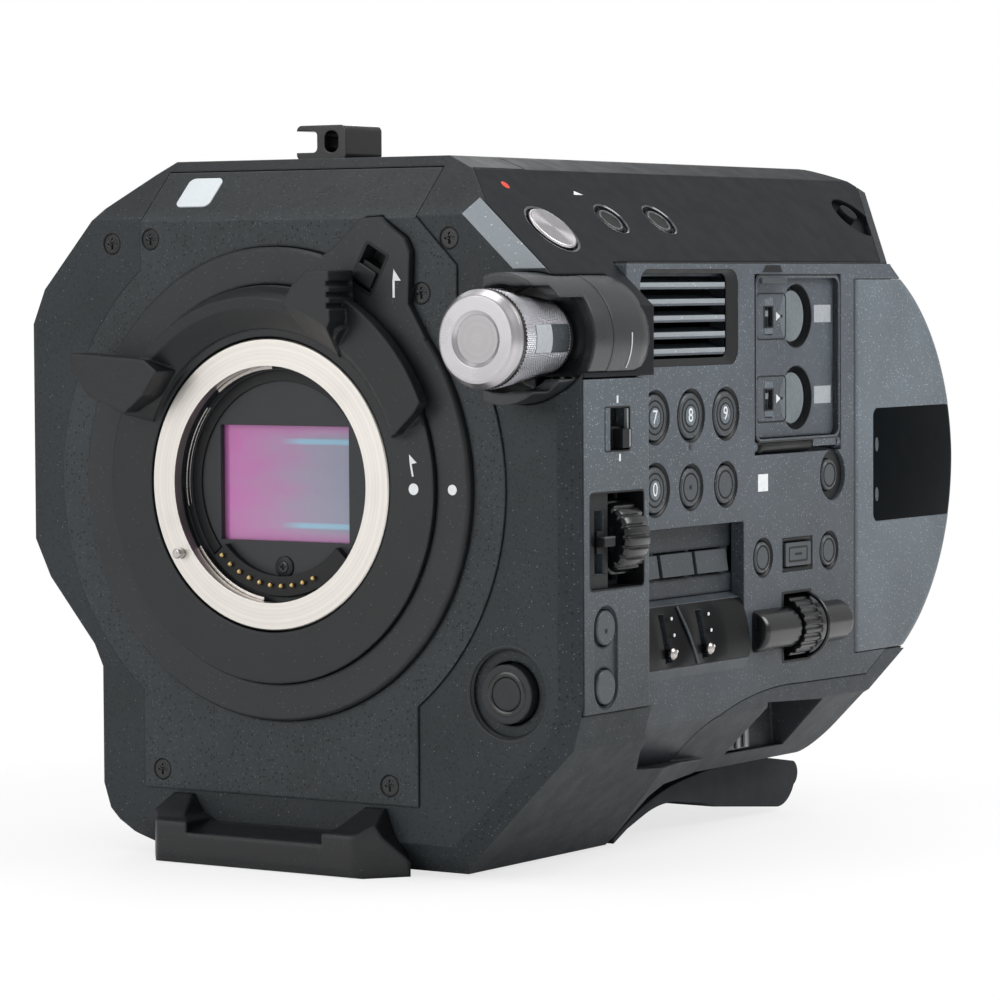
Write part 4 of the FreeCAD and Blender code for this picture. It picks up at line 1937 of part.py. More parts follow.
def make_cable_clip():
    """An open clip on the top of the body."""
    x0 = CLIP_X
    z0 = TOP_Z + SEAT
    y1 = CLIP_Y + CLIP_L
    block = rounded_y(x0, z0, x0 + CLIP_W, z0 + CLIP_H, CLIP_Y, y1, 1.2)
    low = z0 + CLIP_FLOOR
    high = low + CLIP_SLOT
    slot = rounded_y(x0 - 3.0, low, x0 + 5.0, high, CLIP_Y - 1, y1 + 1, 1.0)
    hole = rounded_y(x0 + 6.8, low, x0 + 10.2, high, CLIP_Y - 1, y1 + 1, 1.5)
    return block.cut([slot, hole])


def all_makers():
    """Every sub-part by name, with the function that makes it."""
    makers = {
        "front_casing": make_front_casing,
        "front_plate": make_front_plate,
        "mount_housing": make_mount_housing,
        "lens_flange": make_lens_flange,
        "lens_lock_ring": make_lens_lock_ring,
        "lens_lock_pin": make_lens_lock_pin,
        "release_slider": make_release_slider,
        "light_baffle": make_light_baffle,
        "sensor_glass": make_sensor_glass,
        "contact_block": make_contact_block,
        "nd_dial": make_nd_dial,
        "nd_idler_gear": make_nd_idler_gear,
        "nd_turret": make_nd_turret,
        "nd_cowl": make_nd_cowl,
        "tally_lens": make_tally_lens,
        "body_screws": make_body_screws,
        "front_foot": make_front_foot,
        "upper_cover": make_upper_cover,
        "rec_button": make_rec_button,
        "hold_button": make_hold_button,
        "full_auto_button": make_full_auto_button,
        "wb_set_button": make_wb_set_button,
        "front_side_cover": make_front_side_cover,
        "preset_switch": make_preset_switch,
        "iris_wheel": make_iris_wheel,
        "iris_selector": make_iris_selector,
        "iris_button": make_iris_button,
        "push_auto_button": make_push_auto_button,
        "side_panel": make_side_panel,
        "menu_button": make_menu_button,
        "select_wheel": make_select_wheel,
        "audio_door": make_audio_door,
        "media_door": make_media_door,
        "lower_skirt": make_lower_skirt,
        "rear_shell": make_rear_shell,
        "battery_latch": make_battery_latch,
        "inner_frame": make_inner_frame,
        "circuit_boards": make_circuit_boards,
        "card_unit": make_card_unit,
        "base_plate": make_base_plate,
        "shoulder_pad": make_shoulder_pad,
        "cable_clip": make_cable_clip,
    }
    for name in ROUND_BUTTONS:
        makers[name] = lambda name=name: round_button(name)
    for index, name in enumerate(KEYS):
        makers[name] = lambda index=index: make_key(index)
    for index, name in enumerate(("gain_switch", "balance_switch")):
        makers[name] = lambda index=index: lever_switch(LEVER_Y[index])
    for index, name in enumerate(("one", "two")):
        makers["audio_dial_" + name] = lambda index=index: make_audio_dial(index)
        makers["audio_switch_" + name] = lambda index=index: make_audio_switch(index)
    return makers


def build_all():
    """Make and write every sub-part."""
    os.makedirs(OUT, exist_ok=True)
    for name, maker in all_makers().items():
        export(name, maker())


if __name__ == "__main__":
    build_all()
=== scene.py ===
import math

import bmesh
import bpy
from mathutils import Matrix, Vector


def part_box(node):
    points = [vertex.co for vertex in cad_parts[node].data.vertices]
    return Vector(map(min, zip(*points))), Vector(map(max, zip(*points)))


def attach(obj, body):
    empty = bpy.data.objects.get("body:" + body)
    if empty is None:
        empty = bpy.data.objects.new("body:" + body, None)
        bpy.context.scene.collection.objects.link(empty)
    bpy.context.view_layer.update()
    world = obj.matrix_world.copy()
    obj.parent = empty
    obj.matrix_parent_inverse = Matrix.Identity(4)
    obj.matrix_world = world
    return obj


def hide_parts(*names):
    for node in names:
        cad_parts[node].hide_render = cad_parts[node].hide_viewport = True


# The visual model of a digital cinema camera body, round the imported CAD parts.
# Lengths are written in millimetres and turned into metres when a piece is made.
# +X is the control side, +Y the rear, +Z up, and the lens flange is the origin.

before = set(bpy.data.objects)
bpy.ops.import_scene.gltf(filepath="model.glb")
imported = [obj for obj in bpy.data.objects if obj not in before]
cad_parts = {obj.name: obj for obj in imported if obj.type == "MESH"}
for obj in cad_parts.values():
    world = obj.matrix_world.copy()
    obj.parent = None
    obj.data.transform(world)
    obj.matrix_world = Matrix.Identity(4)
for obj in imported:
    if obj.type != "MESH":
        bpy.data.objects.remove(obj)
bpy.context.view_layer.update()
MM = 0.001


LOW, HIGH = 0, 1


def limit(node, end, axis):
    """Where a node ends along an axis, to a tenth of a millimetre."""
    return round(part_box(node)[end]["XYZ".index(axis)] / MM, 1)


def spot(node):
    """The middle of a node, seen from the control side, as (y, z), to a tenth of a millimetre."""
    low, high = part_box(node)
    return tuple(round((low[k] + high[k]) / 2 / MM, 1) for k in (1, 2))


# Where the CAD surfaces are
RING_Y = limit("lens_flange", LOW, "Y")
HOUSING_Y = limit("mount_housing", LOW, "Y")
PLATE_Y = limit("front_plate", LOW, "Y")
FACE_Y = limit("front_casing", LOW, "Y")
DIAL_Y = limit("nd_dial", LOW, "Y")
SIDE_X = limit("front_side_cover", HIGH, "X")
PANEL_X = limit("media_door", HIGH, "X")
BUTTON_X = limit("button_seven", HIGH, "X")
FLOOR_Z = limit("front_foot", LOW, "Z")
DIAL = (58.0, 28.6)
REC = (52.6, 20.4)
# The sloping shoulder runs from its top to its foot, as (x, z)
SLOPE_TOP = (39.8, 60.8)
SLOPE_LOW = (59.5, 42.8)
SLOPE_N = Vector((SLOPE_TOP[1] - SLOPE_LOW[1], 0, SLOPE_LOW[0] - SLOPE_TOP[0])).normalized()


# Outlines and places

def polar(radius, degrees):
    """The point at a radius and an angle."""
    a = math.radians(degrees)
    return radius * math.cos(a), radius * math.sin(a)


def round_outline(radius, steps=40, u=0.0, v=0.0):
    """A circle as a list of (u, v) points."""
    return [(u + a, v + b) for a, b in (polar(radius, 360 * i / steps) for i in range(steps))]


def rounded(u0, v0, u1, v1, radius, steps=5):
    """A rectangle with round corners."""
    points = []
    for cu, cv, start in ((u1 - radius, v0 + radius, -90), (u1 - radius, v1 - radius, 0),
                          (u0 + radius, v1 - radius, 90), (u0 + radius, v0 + radius, 180)):
        for i in range(steps + 1):
            a, b = polar(radius, start + 90 * i / steps)
            points.append((cu + a, cv + b))
    return points


def arc_points(centre, radius, y, angles):
    """Points on a circle round a line along Y; the angles run from +X towards +Z."""
    return [(centre[0] + a, y, centre[1] + b) for a, b in (polar(radius, angle) for angle in angles)]


def placed(u, v, w, origin):
    """A place whose right, up and out, as seen from outside, are u, v and w."""
    m = Matrix((u, v, w)).transposed().to_4x4()
    m.translation = Vector(origin)
    return m


def on_side(y, z, x=PANEL_X):
    return placed((0, 1, 0), (0, 0, 1), (1, 0, 0), (x, y, z))


def on_front(x, z, y=FACE_Y, turn=0.0):
    """A place on the front, turned about its own middle."""
    c, s = polar(1.0, turn)
    return placed((c, 0, s), (-s, 0, c), (0, -1, 0), (x, y, z))


def slope_z(x):
    return SLOPE_TOP[1] + (x - SLOPE_TOP[0]) * (SLOPE_LOW[1] - SLOPE_TOP[1]) / (SLOPE_LOW[0] - SLOPE_TOP[0])


def on_slope(x, y):
    """A place on the sloping shoulder."""
    n = SLOPE_N
    return placed((0, 1, 0), (-n.z, 0, n.x), tuple(n), (x, y, slope_z(x)))


def along_side(x, z):
    """A place whose out axis runs to the rear, for pieces turned about a line along Y."""
    return placed((0, 0, 1), (1, 0, 0), (0, 1, 0), (x, 0, z))


def across_side(y):
    """A place for a section in X and Z that is drawn out to the front."""
    return placed((1, 0, 0), (0, 0, 1), (0, -1, 0), (0, y, 0))


# Meshes

def linked(name, data):
    """An object with this data, in the scene."""
    thing = bpy.data.objects.new(name, data)
    bpy.context.scene.collection.objects.link(thing)
    return thing


def riding(name, mesh, material, body):
    """The mesh as an object in its material, riding on its body."""
    thing = linked(name, mesh)
    mesh.materials.clear()
    mesh.materials.append(material)
    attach(thing, body)
    return thing


class Form:
    """A mesh that grows piece by piece, in millimetres."""

    def __init__(self):
        self.bm = bmesh.new()

    def row(self, place, points):
        """New corners at (u, v, w) points of a place."""
        return [self.bm.verts.new(place @ Vector(p)) for p in points]

    def band(self, here, there, closed=True):
        """Faces between two rows of corners."""
        for i in range(len(here) if closed else len(here) - 1):
            j = (i + 1) % len(here)
            self.bm.faces.new((here[i], here[j], there[j], there[i]))

    def prism(self, place, outline, w0, w1, shrink=0.0):
        """A flat outline of (u, v) points drawn out from w0 to w1, its far end a little smaller."""
        cu = sum(u for u, v in outline) / len(outline)
        cv = sum(v for u, v in outline) / len(outline)
        far_end = []
        for u, v in outline:
            k = max(1.0 - shrink / (math.hypot(u - cu, v - cv) or 1.0), 0.05)
            far_end.append((cu + (u - cu) * k, cv + (v - cv) * k, w1))
        low = self.row(place, [(u, v, w0) for u, v in outline])
        high = self.row(place, far_end)
        self.band(low, high)
        self.bm.faces.new(high)
        self.bm.faces.new(list(reversed(low)))
        return self

    def box(self, place, u0, v0, u1, v1, w0, w1, shrink=0.0):
        return self.prism(place, [(u0, v0), (u1, v0), (u1, v1), (u0, v1)], w0, w1, shrink)

    def disc(self, place, radius, w0, w1, steps=40):
        return self.prism(place, round_outline(radius, steps), w0, w1)

    def lathe(self, place, profile, steps=64, a0=0.0, a1=360.0):
        """A closed profile of (radius, w) points turned about the out axis."""
        whole = a1 - a0 >= 360.0
        rows = []
        for i in range(steps if whole else steps + 1):
            c, s = polar(1.0, a0 + (a1 - a0) * i / steps)
            rows.append(self.row(place, [(r * c, r * s, w) for r, w in profile]))
        for here, there in zip(rows, rows[1:] + rows[:1] if whole else rows[1:]):
            self.band(there, here)
        if not whole:
            self.bm.faces.new(rows[0])
            self.bm.faces.new(list(reversed(rows[-1])))
        return self

    def ring(self, place, outer, inner, low, high, high_in=None):
        """A frame between two outlines with the same number of points."""
        inside = high if high_in is None else high_in
        rows = [self.row(place, [(u, v, w) for u, v in outline])
                for outline, w in ((outer, low), (outer, high), (inner, inside), (inner, min(low, inside)))]
        for here, there in zip(rows, rows[1:] + rows[:1]):
            self.band(here, there)
        return self

    def sheet(self, rows, closed=False):
        """Rows of points joined into a surface."""
        made = [self.row(Matrix(), row) for row in rows]
        for here, there in zip(made, made[1:]):
            self.band(here, there, closed)
        return self

    def to_mesh(self, name):
        mesh = bpy.data.meshes.new(name)
        self.bm.to_mesh(mesh)
        self.bm.free()
        mesh.transform(Matrix.Scale(MM, 4))
        return mesh

    def made(self, name, material, body="camera_body", soft=0.0, angle=35.0, smooth=True):
        """The finished piece, with its edges rounded by soft."""
        bmesh.ops.recalc_face_normals(self.bm, faces=self.bm.faces)
        mesh = self.to_mesh(name)
        if smooth:
            mesh.shade_smooth()
            mesh.set_sharp_from_angle(angle=math.radians(angle))
        thing = riding(name, mesh, material, body)
        if soft:
            bevel = thing.modifiers.new("soft", "BEVEL")
            bevel.width = soft * MM
            bevel.segments = 2
            bevel.limit_method = "ANGLE"
            bevel.angle_limit = math.radians(angle)
        return thing


def from_curve(name, curve):
    """The mesh of a curve or of a text."""
    shape = linked(name + "_line", curve)
    bpy.context.view_layer.update()
    mesh = bpy.data.meshes.new_from_object(shape.evaluated_get(bpy.context.evaluated_depsgraph_get()))
    bpy.data.objects.remove(shape)
    return mesh


def tube(name, points, radius, material):
    """A round wire through points in millimetres."""
    curve = bpy.data.curves.new(name, "CURVE")
    curve.dimensions = "3D"
    curve.bevel_depth = radius * MM
    curve.bevel_resolution = 3
    curve.use_fill_caps = True
    line = curve.splines.new("POLY")
    line.points.add(len(points) - 1)
    for p, q in zip(line.points, points):
        p.co = (*[c * MM for c in q], 1.0)
    mesh = from_curve(name, curve)
    mesh.shade_smooth()
    riding(name, mesh, material, "camera_body")


def digit(name, text, place, size, material, body):
    """A plain digit, printed on a surface."""
    curve = bpy.data.curves.new(name, "FONT")
    curve.body = text
    curve.size = size * MM
    curve.extrude = 0.015 * MM
    curve.align_x = "CENTER"
    curve.align_y = "CENTER"
    mesh = from_curve(name, curve)
    turn = place.copy()
    turn.translation = turn.translation * MM
    mesh.transform(turn)
    riding(name, mesh, material, body)


# Materials

def tone(r, g, b):
    """A colour from its screen values."""
    def one(c):
        c /= 255.0
        return c / 12.92 if c <= 0.04045 else ((c + 0.055) / 1.055) ** 2.4
    return (one(r), one(g), one(b), 1.0)


def scaled(colour, k):
    return tuple(min(c * k, 1.0) for c in colour[:3]) + (1.0,)


class Nodes:
    """A node tree, with a short way to add and join nodes."""

    def __init__(self, owner):
        owner.use_nodes = True
        self.tree = owner.node_tree
        self.tree.nodes.clear()

    def fill(self, node, inputs):
        """Gives each input a plain value or joins it to another node's output."""
        for key, value in inputs.items():
            if isinstance(value, bpy.types.NodeSocket):
                self.tree.links.new(value, node.inputs[key])
            else:
                node.inputs[key].default_value = value

    def node(self, kind, inputs=None, **settings):
        made = self.tree.nodes.new(kind)
        for key, value in settings.items():
            setattr(made, key, value)
        self.fill(made, inputs or {})
        return made

    def maths(self, operation, *values):
        return self.node("ShaderNodeMath", dict(enumerate(values)), operation=operation).outputs[0]

    def vector(self, operation, *values):
        return self.node("ShaderNodeVectorMath", dict(enumerate(values)), operation=operation)

    def remap(self, value, low, high, to_low=0.0, to_high=1.0):
        return self.node("ShaderNodeMapRange", {"Value": value, "From Min": low, "From Max": high,
                                                "To Min": to_low, "To Max": to_high}).outputs["Result"]

    def mix(self, factor, a, b):
        return self.node("ShaderNodeMix", {0: factor, 6: a, 7: b}, data_type="RGBA").outputs[2]


class Look(Nodes):
    """The nodes of a material."""

    def __init__(self, name):
        self.material = bpy.data.materials.new(name)
        super().__init__(self.material)
        self.output = self.node("ShaderNodeOutputMaterial")
        self.skin = self.node("ShaderNodeBsdfPrincipled")
        self.fill(self.output, {"Surface": self.skin.outputs["BSDF"]})
        self.coords = self.node("ShaderNodeTexCoord").outputs["Object"]

    def noise(self, scale, detail=2.0, rough=0.5, coords=None):
        return self.node("ShaderNodeTexNoise", {"Scale": scale, "Detail": detail, "Roughness": rough,
                                                "Vector": coords or self.coords}).outputs["Fac"]

    def stretched(self, scale):
        """The object's coordinates, stretched along its axes."""
        return self.node("ShaderNodeMapping", {"Scale": scale, "Vector": self.coords}).outputs["Vector"]

    def flecks(self, scale, size, share):
        """Small grains of random brightness strewn about, and 0 between them."""
        cells = self.node("ShaderNodeTexVoronoi", {"Scale": scale, "Vector": self.coords})
        near = self.maths("LESS_THAN", cells.outputs["Distance"], size)
        chance = self.node("ShaderNodeSeparateColor", {0: cells.outputs["Color"]})
        chosen = self.maths("LESS_THAN", chance.outputs[0], share)
        return self.maths("MULTIPLY", self.maths("MULTIPLY", near, chosen), chance.outputs[1])

    def surface(self, rough, bump, height, edge):
        """Roughness, rounded edges and a fine relief; gives the normal of the rounded edges."""
        corner = self.node("ShaderNodeBevel", {"Radius": edge * MM}, samples=4).outputs["Normal"]
        relief = self.node("ShaderNodeBump", {"Strength": 1.0, "Distance": height * MM, "Height": bump,
                                              "Normal": corner})
        self.fill(self.skin, {"Normal": relief.outputs["Normal"], "Roughness": rough})
        return corner

    def rubbed_and_highlit(self, colour, corner, amount, light):
        """The colour, lighter along the edges: partly rubbed wear, partly a painted highlight."""
        facing = self.node("ShaderNodeNewGeometry").outputs["Normal"]
        same = self.vector("DOT_PRODUCT", corner, facing).outputs["Value"]
        rub_and_highlight = self.remap(same, 0.995, 0.9, 0.0, amount)
        patch = self.remap(self.noise(160.0, 3.0), 0.35, 0.65)
        return self.mix(self.maths("MULTIPLY", rub_and_highlight, patch), colour, light)


def plastic(name, colour, rough=0.5, cloud=0.10, light=None, dark=None, grain=1400.0, height=0.025, edge=0.3,
            wear_and_highlight=0.35, specular=0.5, coat=0.0, painted_shade_by_height=None):
    """Moulded or painted plastic: cloudy colour, strewn grains, fine relief, rubbed edges with a painted
    highlight, and painted shade by height.
    """
    look = Look(name)
    broad = look.remap(look.noise(55.0, 4.0), 0.3, 0.7)
    fine = look.remap(look.noise(grain, 2.0), 0.3, 0.7)
    base = look.mix(broad, scaled(colour, 1 - cloud), scaled(colour, 1 + cloud))
    base = look.mix(look.maths("MULTIPLY", fine, 0.5), base, scaled(colour, 1 + 2.2 * cloud))
    for strewn in (light, dark):
        if strewn:
            base = look.mix(look.flecks(*strewn[:3]), base, strewn[3])
    rough_field = look.remap(look.noise(220.0, 2.0), 0.3, 0.7, rough - 0.05, rough + 0.05)
    corner = look.surface(rough_field, look.noise(grain, 2.0), height, edge)
    # Edges made lighter: rubbed wear and a painted highlight.
    base = look.rubbed_and_highlit(base, corner, wear_and_highlight, scaled(colour, 2.6))
    # Painted shade: the colour is darkened by height, standing in for the fall of the lamps' light.
    if painted_shade_by_height:
        darkest, clear, share = painted_shade_by_height
        split = look.node("ShaderNodeSeparateXYZ", {0: look.coords})
        fade = look.remap(split.outputs["Z"], darkest * MM, clear * MM, share, 1.0)
        shade = look.vector("SCALE", base)
        look.fill(shade, {"Scale": fade})
        base = shade.outputs["Vector"]
    look.fill(look.skin, {"Base Color": base, "Specular IOR Level": specular})
    if coat:
        look.fill(look.skin, {"Coat Weight": coat, "Coat Roughness": 0.15})
    return look.material


def metal(name, colour, rough=0.3):
    """Machined metal with fine marks along Y."""
    look = Look(name)
    marks = look.noise(900.0, 4.0, 0.6, look.stretched((1.0, 0.08, 1.0)))
    broad = look.noise(60.0, 3.0)
    base = look.mix(look.remap(marks, 0.3, 0.7), scaled(colour, 0.9), scaled(colour, 1.06))
    base = look.mix(look.maths("MULTIPLY", look.remap(broad, 0.4, 0.7), 0.3), base, scaled(colour, 0.9))
    look.fill(look.skin, {"Base Color": base, "Metallic": 1.0})
    look.surface(look.remap(marks, 0.3, 0.7, rough - 0.06, rough + 0.08), marks, 0.004, 0.2)
    return look.material


def turned(name, colour, centre, axis, rough=0.3, spun=0.0):
    """Metal with the fine rings that a lathe leaves round an axis."""
    look = Look(name)
    apart = look.vector("SUBTRACT", look.coords, [c * MM for c in centre]).outputs[0]
    along = look.vector("CROSS_PRODUCT", apart, axis).outputs[0]
    radius = look.vector("LENGTH", along).outputs["Value"]
    marks = look.node("ShaderNodeTexNoise", {"Scale": 1.0, "Detail": 3.0,
                                             "W": look.maths("MULTIPLY", radius, 1.6 / MM)},
                      noise_dimensions="1D").outputs["Fac"]
    wide = look.noise(90.0, 3.0)
    base = look.mix(look.remap(marks, 0.3, 0.7), scaled(colour, 0.93), scaled(colour, 1.04))
    base = look.mix(look.maths("MULTIPLY", look.remap(wide, 0.45, 0.7), 0.35), base, scaled(colour, 0.9))
    look.fill(look.skin, {"Base Color": base, "Metallic": 1.0})
    look.surface(look.remap(wide, 0.3, 0.7, rough - 0.04, rough + 0.06), marks, 0.006, 0.15)
    if spun:
        look.fill(look.skin, {"Anisotropic": spun, "Tangent": look.vector("NORMALIZE", along).outputs[0]})
    return look.material


def printed(name, colour):
    """Printing ink, not quite even."""
    look = Look(name)
    patch = look.remap(look.noise(900.0, 3.0), 0.3, 0.7)
    look.fill(look.skin, {"Base Color": look.mix(patch, scaled(colour, 0.86), colour)})
    look.surface(look.remap(look.noise(500.0), 0.3, 0.7, 0.47, 0.63), look.noise(1500.0), 0.006, 0.02)
    return look.material


def sensor_look():
    """The filter glass over the sensor, pink to grey-blue, with two pale streaks."""
    pink = tone(186, 112, 170)
    streak_z = 0.0082
    look = Look("imaging_glass")
    split = look.node("ShaderNodeSeparateXYZ", {0: look.coords})
    x, z = split.outputs["X"], split.outputs["Z"]
    cloudy = look.noise(110.0, 3.0, 0.55, look.stretched((1.0, 1.0, 2.6)))
    shifted = look.maths("ADD", x, look.maths("MULTIPLY", look.maths("SUBTRACT", cloudy, 0.5), 0.016))
    base = look.mix(look.remap(shifted, -0.014, 0.006), pink, tone(150, 140, 162))
    base = look.mix(look.remap(x, 0.004, 0.015), base, tone(138, 142, 160))
    margin = look.remap(look.maths("ABSOLUTE", z), 0.0088, 0.0112)
    base = look.mix(look.maths("MULTIPLY", margin, 0.75), base, pink)
    high_bar = look.maths("ABSOLUTE", look.maths("SUBTRACT", z, streak_z))
    low_bar = look.maths("ABSOLUTE", look.maths("ADD", z, streak_z))
    bar = look.remap(look.maths("MINIMUM", high_bar, low_bar), 0.0007, 0.0003)
    bar = look.maths("MULTIPLY", bar, look.remap(x, -0.002, 0.003))
    base = look.mix(look.maths("MULTIPLY", bar, 0.85), base, tone(140, 184, 206))
    look.fill(look.skin, {"Base Color": base, "Metallic": 0.2, "Coat Weight": 0.5, "Coat Roughness": 0.05})
    look.surface(look.remap(cloudy, 0.3, 0.7, 0.16, 0.24), look.noise(600.0), 0.001, 0.05)
    return look.material


def clear_look():
    """A clear cover: it shows what is under it, and shines a little."""
    look = Look("clear_cover")
    tint = look.mix(look.remap(look.noise(120.0), 0.3, 0.7), tone(60, 64, 68), tone(74, 78, 82))
    look.fill(look.skin, {"Base Color": tint, "Alpha": 0.03, "Specular IOR Level": 0.3})
    look.surface(look.remap(look.noise(300.0), 0.3, 0.7, 0.08, 0.16), look.noise(700.0), 0.002, 0.2)
    return look.material


# Strewn grains: cells per metre, size of a grain, share of the cells, colour
FINE = (1700.0, 0.21, 0.40, tone(104, 110, 116))
DENSE = (1750.0, 0.22, 0.44, tone(160, 167, 172))
PIT = (1500.0, 0.36, 0.46, tone(12, 14, 16))
# Painted shade by height: where it is darkest, where it ends, and how dark. The bevel over the plate takes
# the lamp from above, so painted shade darkens its paint from its bottom edge up, and the side, its cover and
# the card door are painted darker towards the floor.
BEVEL_SHADE = (54.0, 51.5, 0.68)

BODY = plastic("body_paint", tone(34, 39, 42), 0.52, 0.22, light=FINE, dark=PIT, specular=0.3, edge=0.6,
               wear_and_highlight=0.7, painted_shade_by_height=BEVEL_SHADE)
PLATE = plastic("plate_paint", tone(39, 44, 47), 0.50, 0.24, light=FINE, dark=PIT, specular=0.32, edge=0.6,
                wear_and_highlight=0.7, painted_shade_by_height=BEVEL_SHADE)
HOUSING = plastic("mount_paint", tone(27, 30, 33), 0.46, 0.14, light=(1700.0, 0.18, 0.2, tone(88, 92, 96)),
                  specular=0.4, edge=0.8, wear_and_highlight=0.9)
LOCK = plastic("lock_ring_paint", tone(21, 23, 25), 0.42, 0.14, light=(1700.0, 0.17, 0.16, tone(84, 88, 92)),
               specular=0.4, edge=0.7, wear_and_highlight=0.9)
SIDE = plastic("side_paint", tone(67, 74, 81), 0.46, 0.22, light=DENSE,
               dark=(1500.0, 0.34, 0.36, tone(46, 51, 56)), grain=1600.0, height=0.05, edge=0.5,
               painted_shade_by_height=(-52.0, 12.0, 0.40))
SIDE_DARK = plastic("side_cover_paint", tone(72, 80, 86), 0.48, 0.16, light=DENSE, grain=1600.0, height=0.05,
                    edge=0.6, painted_shade_by_height=(-42.0, 12.0, 0.34))
SKIRT = plastic("skirt_paint", tone(45, 49, 53), 0.5, 0.10, light=FINE, grain=1600.0, height=0.04,
                specular=0.35, edge=0.8)
DOOR = plastic("door_paint", tone(88, 97, 104), 0.44, 0.2, light=(1700.0, 0.22, 0.36, tone(174, 182, 188)),
               dark=(1500.0, 0.34, 0.3, tone(70, 77, 83)), grain=1600.0, height=0.04, edge=0.5,
               painted_shade_by_height=(-40.0, 14.0, 0.66))
COVER = plastic("cover_paint", tone(15, 18, 23), 0.5, 0.10, light=(1700.0, 0.12, 0.08, tone(80, 84, 90)),
                height=0.012, specular=0.16, edge=0.6)
SHELL = plastic("shell_paint", tone(34, 37, 41), 0.50, 0.12, light=FINE, specular=0.35, edge=0.6)
BLACK = plastic("black_plastic", tone(18, 19, 21), 0.45, 0.12, height=0.012, specular=0.3)
COWL = plastic("cowl_plastic", tone(27, 30, 33), 0.30, 0.10, height=0.008, specular=0.6, edge=0.9, wear_and_highlight=0.6)
GLOSS = plastic("gloss_plastic", tone(10, 11, 13), 0.24, 0.10, height=0.002, edge=0.4, coat=0.2)
SHINE = plastic("shiny_rim", tone(44, 47, 51), 0.2, 0.08, height=0.002, specular=0.9, edge=0.3, coat=0.5)
SADDLE = plastic("saddle_plastic", tone(8, 9, 11), 0.36, 0.08, height=0.002, specular=0.16, edge=0.4)
THROAT = plastic("throat_plastic", tone(40, 42, 45), 0.42, 0.10, height=0.006, specular=0.35)
KEY = plastic("key_plastic", tone(56, 61, 65), 0.40, 0.14, light=(1400.0, 0.2, 0.25, tone(130, 136, 140)),
              edge=0.4, wear_and_highlight=0.6)
DIAL_PAINT = plastic("dial_paint", tone(104, 112, 116), 0.48, 0.22,
                     light=(1250.0, 0.26, 0.4, tone(150, 157, 162)), grain=1100.0)
KNOB = plastic("knob_plastic", tone(130, 134, 137), 0.4, 0.08, height=0.008)
FOOT = plastic("foot_plastic", tone(12, 14, 17), 0.34, 0.08, light=(1900.0, 0.16, 0.14, tone(96, 101, 106)),
               specular=0.45, edge=1.3, wear_and_highlight=0.7, coat=0.12)
PAD = plastic("pad_rubber", tone(42, 44, 48), 0.8, 0.08, grain=1100.0, height=0.05, edge=0.5, wear_and_highlight=0.25,
              specular=0.35)
RING = turned("ring_steel", (0.70, 0.67, 0.625, 1.0), (0, 0, 0), (0, 1, 0), 0.34)
STEEL = metal("spring_steel", (0.50, 0.47, 0.45, 1.0), 0.28)
DIAL_FACE = turned("dial_face", (0.36, 0.345, 0.355, 1.0), (DIAL[0], 0, DIAL[1]), (0, 1, 0), 0.36)
# The rim's turned metal is lighter than the face's: a painted highlight on the chamfered rim.
DIAL_RIM_HIGHLIT = turned("dial_rim_highlit_metal", (0.50, 0.485, 0.50, 1.0), (DIAL[0], 0, DIAL[1]), (0, 1, 0), 0.28)
DIAL_KNURL = metal("dial_knurl", (0.42, 0.42, 0.45, 1.0), 0.32)
REC_METAL = turned("rec_metal", (0.60, 0.585, 0.60, 1.0), (*REC, slope_z(REC[0])), tuple(SLOPE_N), 0.26, 0.85)
SCREW = plastic("screw_black", tone(12, 13, 14), 0.28, 0.10, height=0.006, wear_and_highlight=0.6)
INNER = metal("inner_metal", (0.28, 0.29, 0.30, 1.0), 0.45)
GOLD = metal("contact_gold", (0.55, 0.40, 0.17, 1.0), 0.3)
BOARD = plastic("board_green", tone(22, 62, 44), 0.45, 0.2)
SMOKE = plastic("smoke_window", tone(6, 10, 13), 0.14, 0.10, height=0.001, specular=0.035)
WHITE = printed("white_print", tone(226, 229, 231))
GREY_PRINT = printed("grey_print", tone(168, 173, 178))
RED = printed("red_print", tone(214, 62, 44))
STRIPE = plastic("stripe_paint", tone(134, 141, 146), 0.45, 0.06,
                 light=(1300.0, 0.2, 0.3, tone(216, 220, 222)))
LAMP = plastic("tally_frost", tone(206, 213, 216), 0.35, 0.04, height=0.004)
SENSOR = sensor_look()
CLEAR = clear_look()

NODE_LOOKS = {
    BODY: ("front_casing",),
    PLATE: ("front_plate",),
    HOUSING: ("mount_housing", "wb_set_button"),
    LOCK: ("lens_lock_ring",),
    RING: ("lens_flange",),
    STEEL: ("lens_lock_pin",),
    THROAT: ("light_baffle",),
    BLACK: ("release_slider", "contact_block", "preset_switch",
            "iris_selector", "card_unit", "hold_button", "full_auto_button"),
    COWL: ("nd_cowl",),
    SENSOR: ("sensor_glass",),
    DIAL_FACE: ("nd_dial",),
    INNER: ("nd_idler_gear", "inner_frame", "base_plate"),
    GLOSS: ("nd_turret", "cable_clip", "iris_wheel", "select_wheel", "gain_switch", "balance_switch"),
    KNOB: ("audio_switch_one", "audio_switch_two"),
    LAMP: ("tally_lens",),
    SCREW: ("body_screws",),
    FOOT: ("front_foot",),
    COVER: ("upper_cover",),
    REC_METAL: ("rec_button",),
    SIDE_DARK: ("front_side_cover",),
    SKIRT: ("lower_skirt",),
    SIDE: ("side_panel",),
    DIAL_PAINT: ("audio_dial_one", "audio_dial_two"),
    KEY: ("iris_button", "push_auto_button", "menu_button", "button_seven", "button_eight", "button_nine",
          "button_zero", "status_button", "display_button", "slot_select_button", "cancel_button",
          "thumbnail_button", "gain_button", "balance_button", "shutter_button"),
    DOOR: ("media_door",),
    CLEAR: ("audio_door",),
    SHELL: ("rear_shell",),
    PAD: ("shoulder_pad", "battery_latch"),
    BOARD: ("circuit_boards",),
}

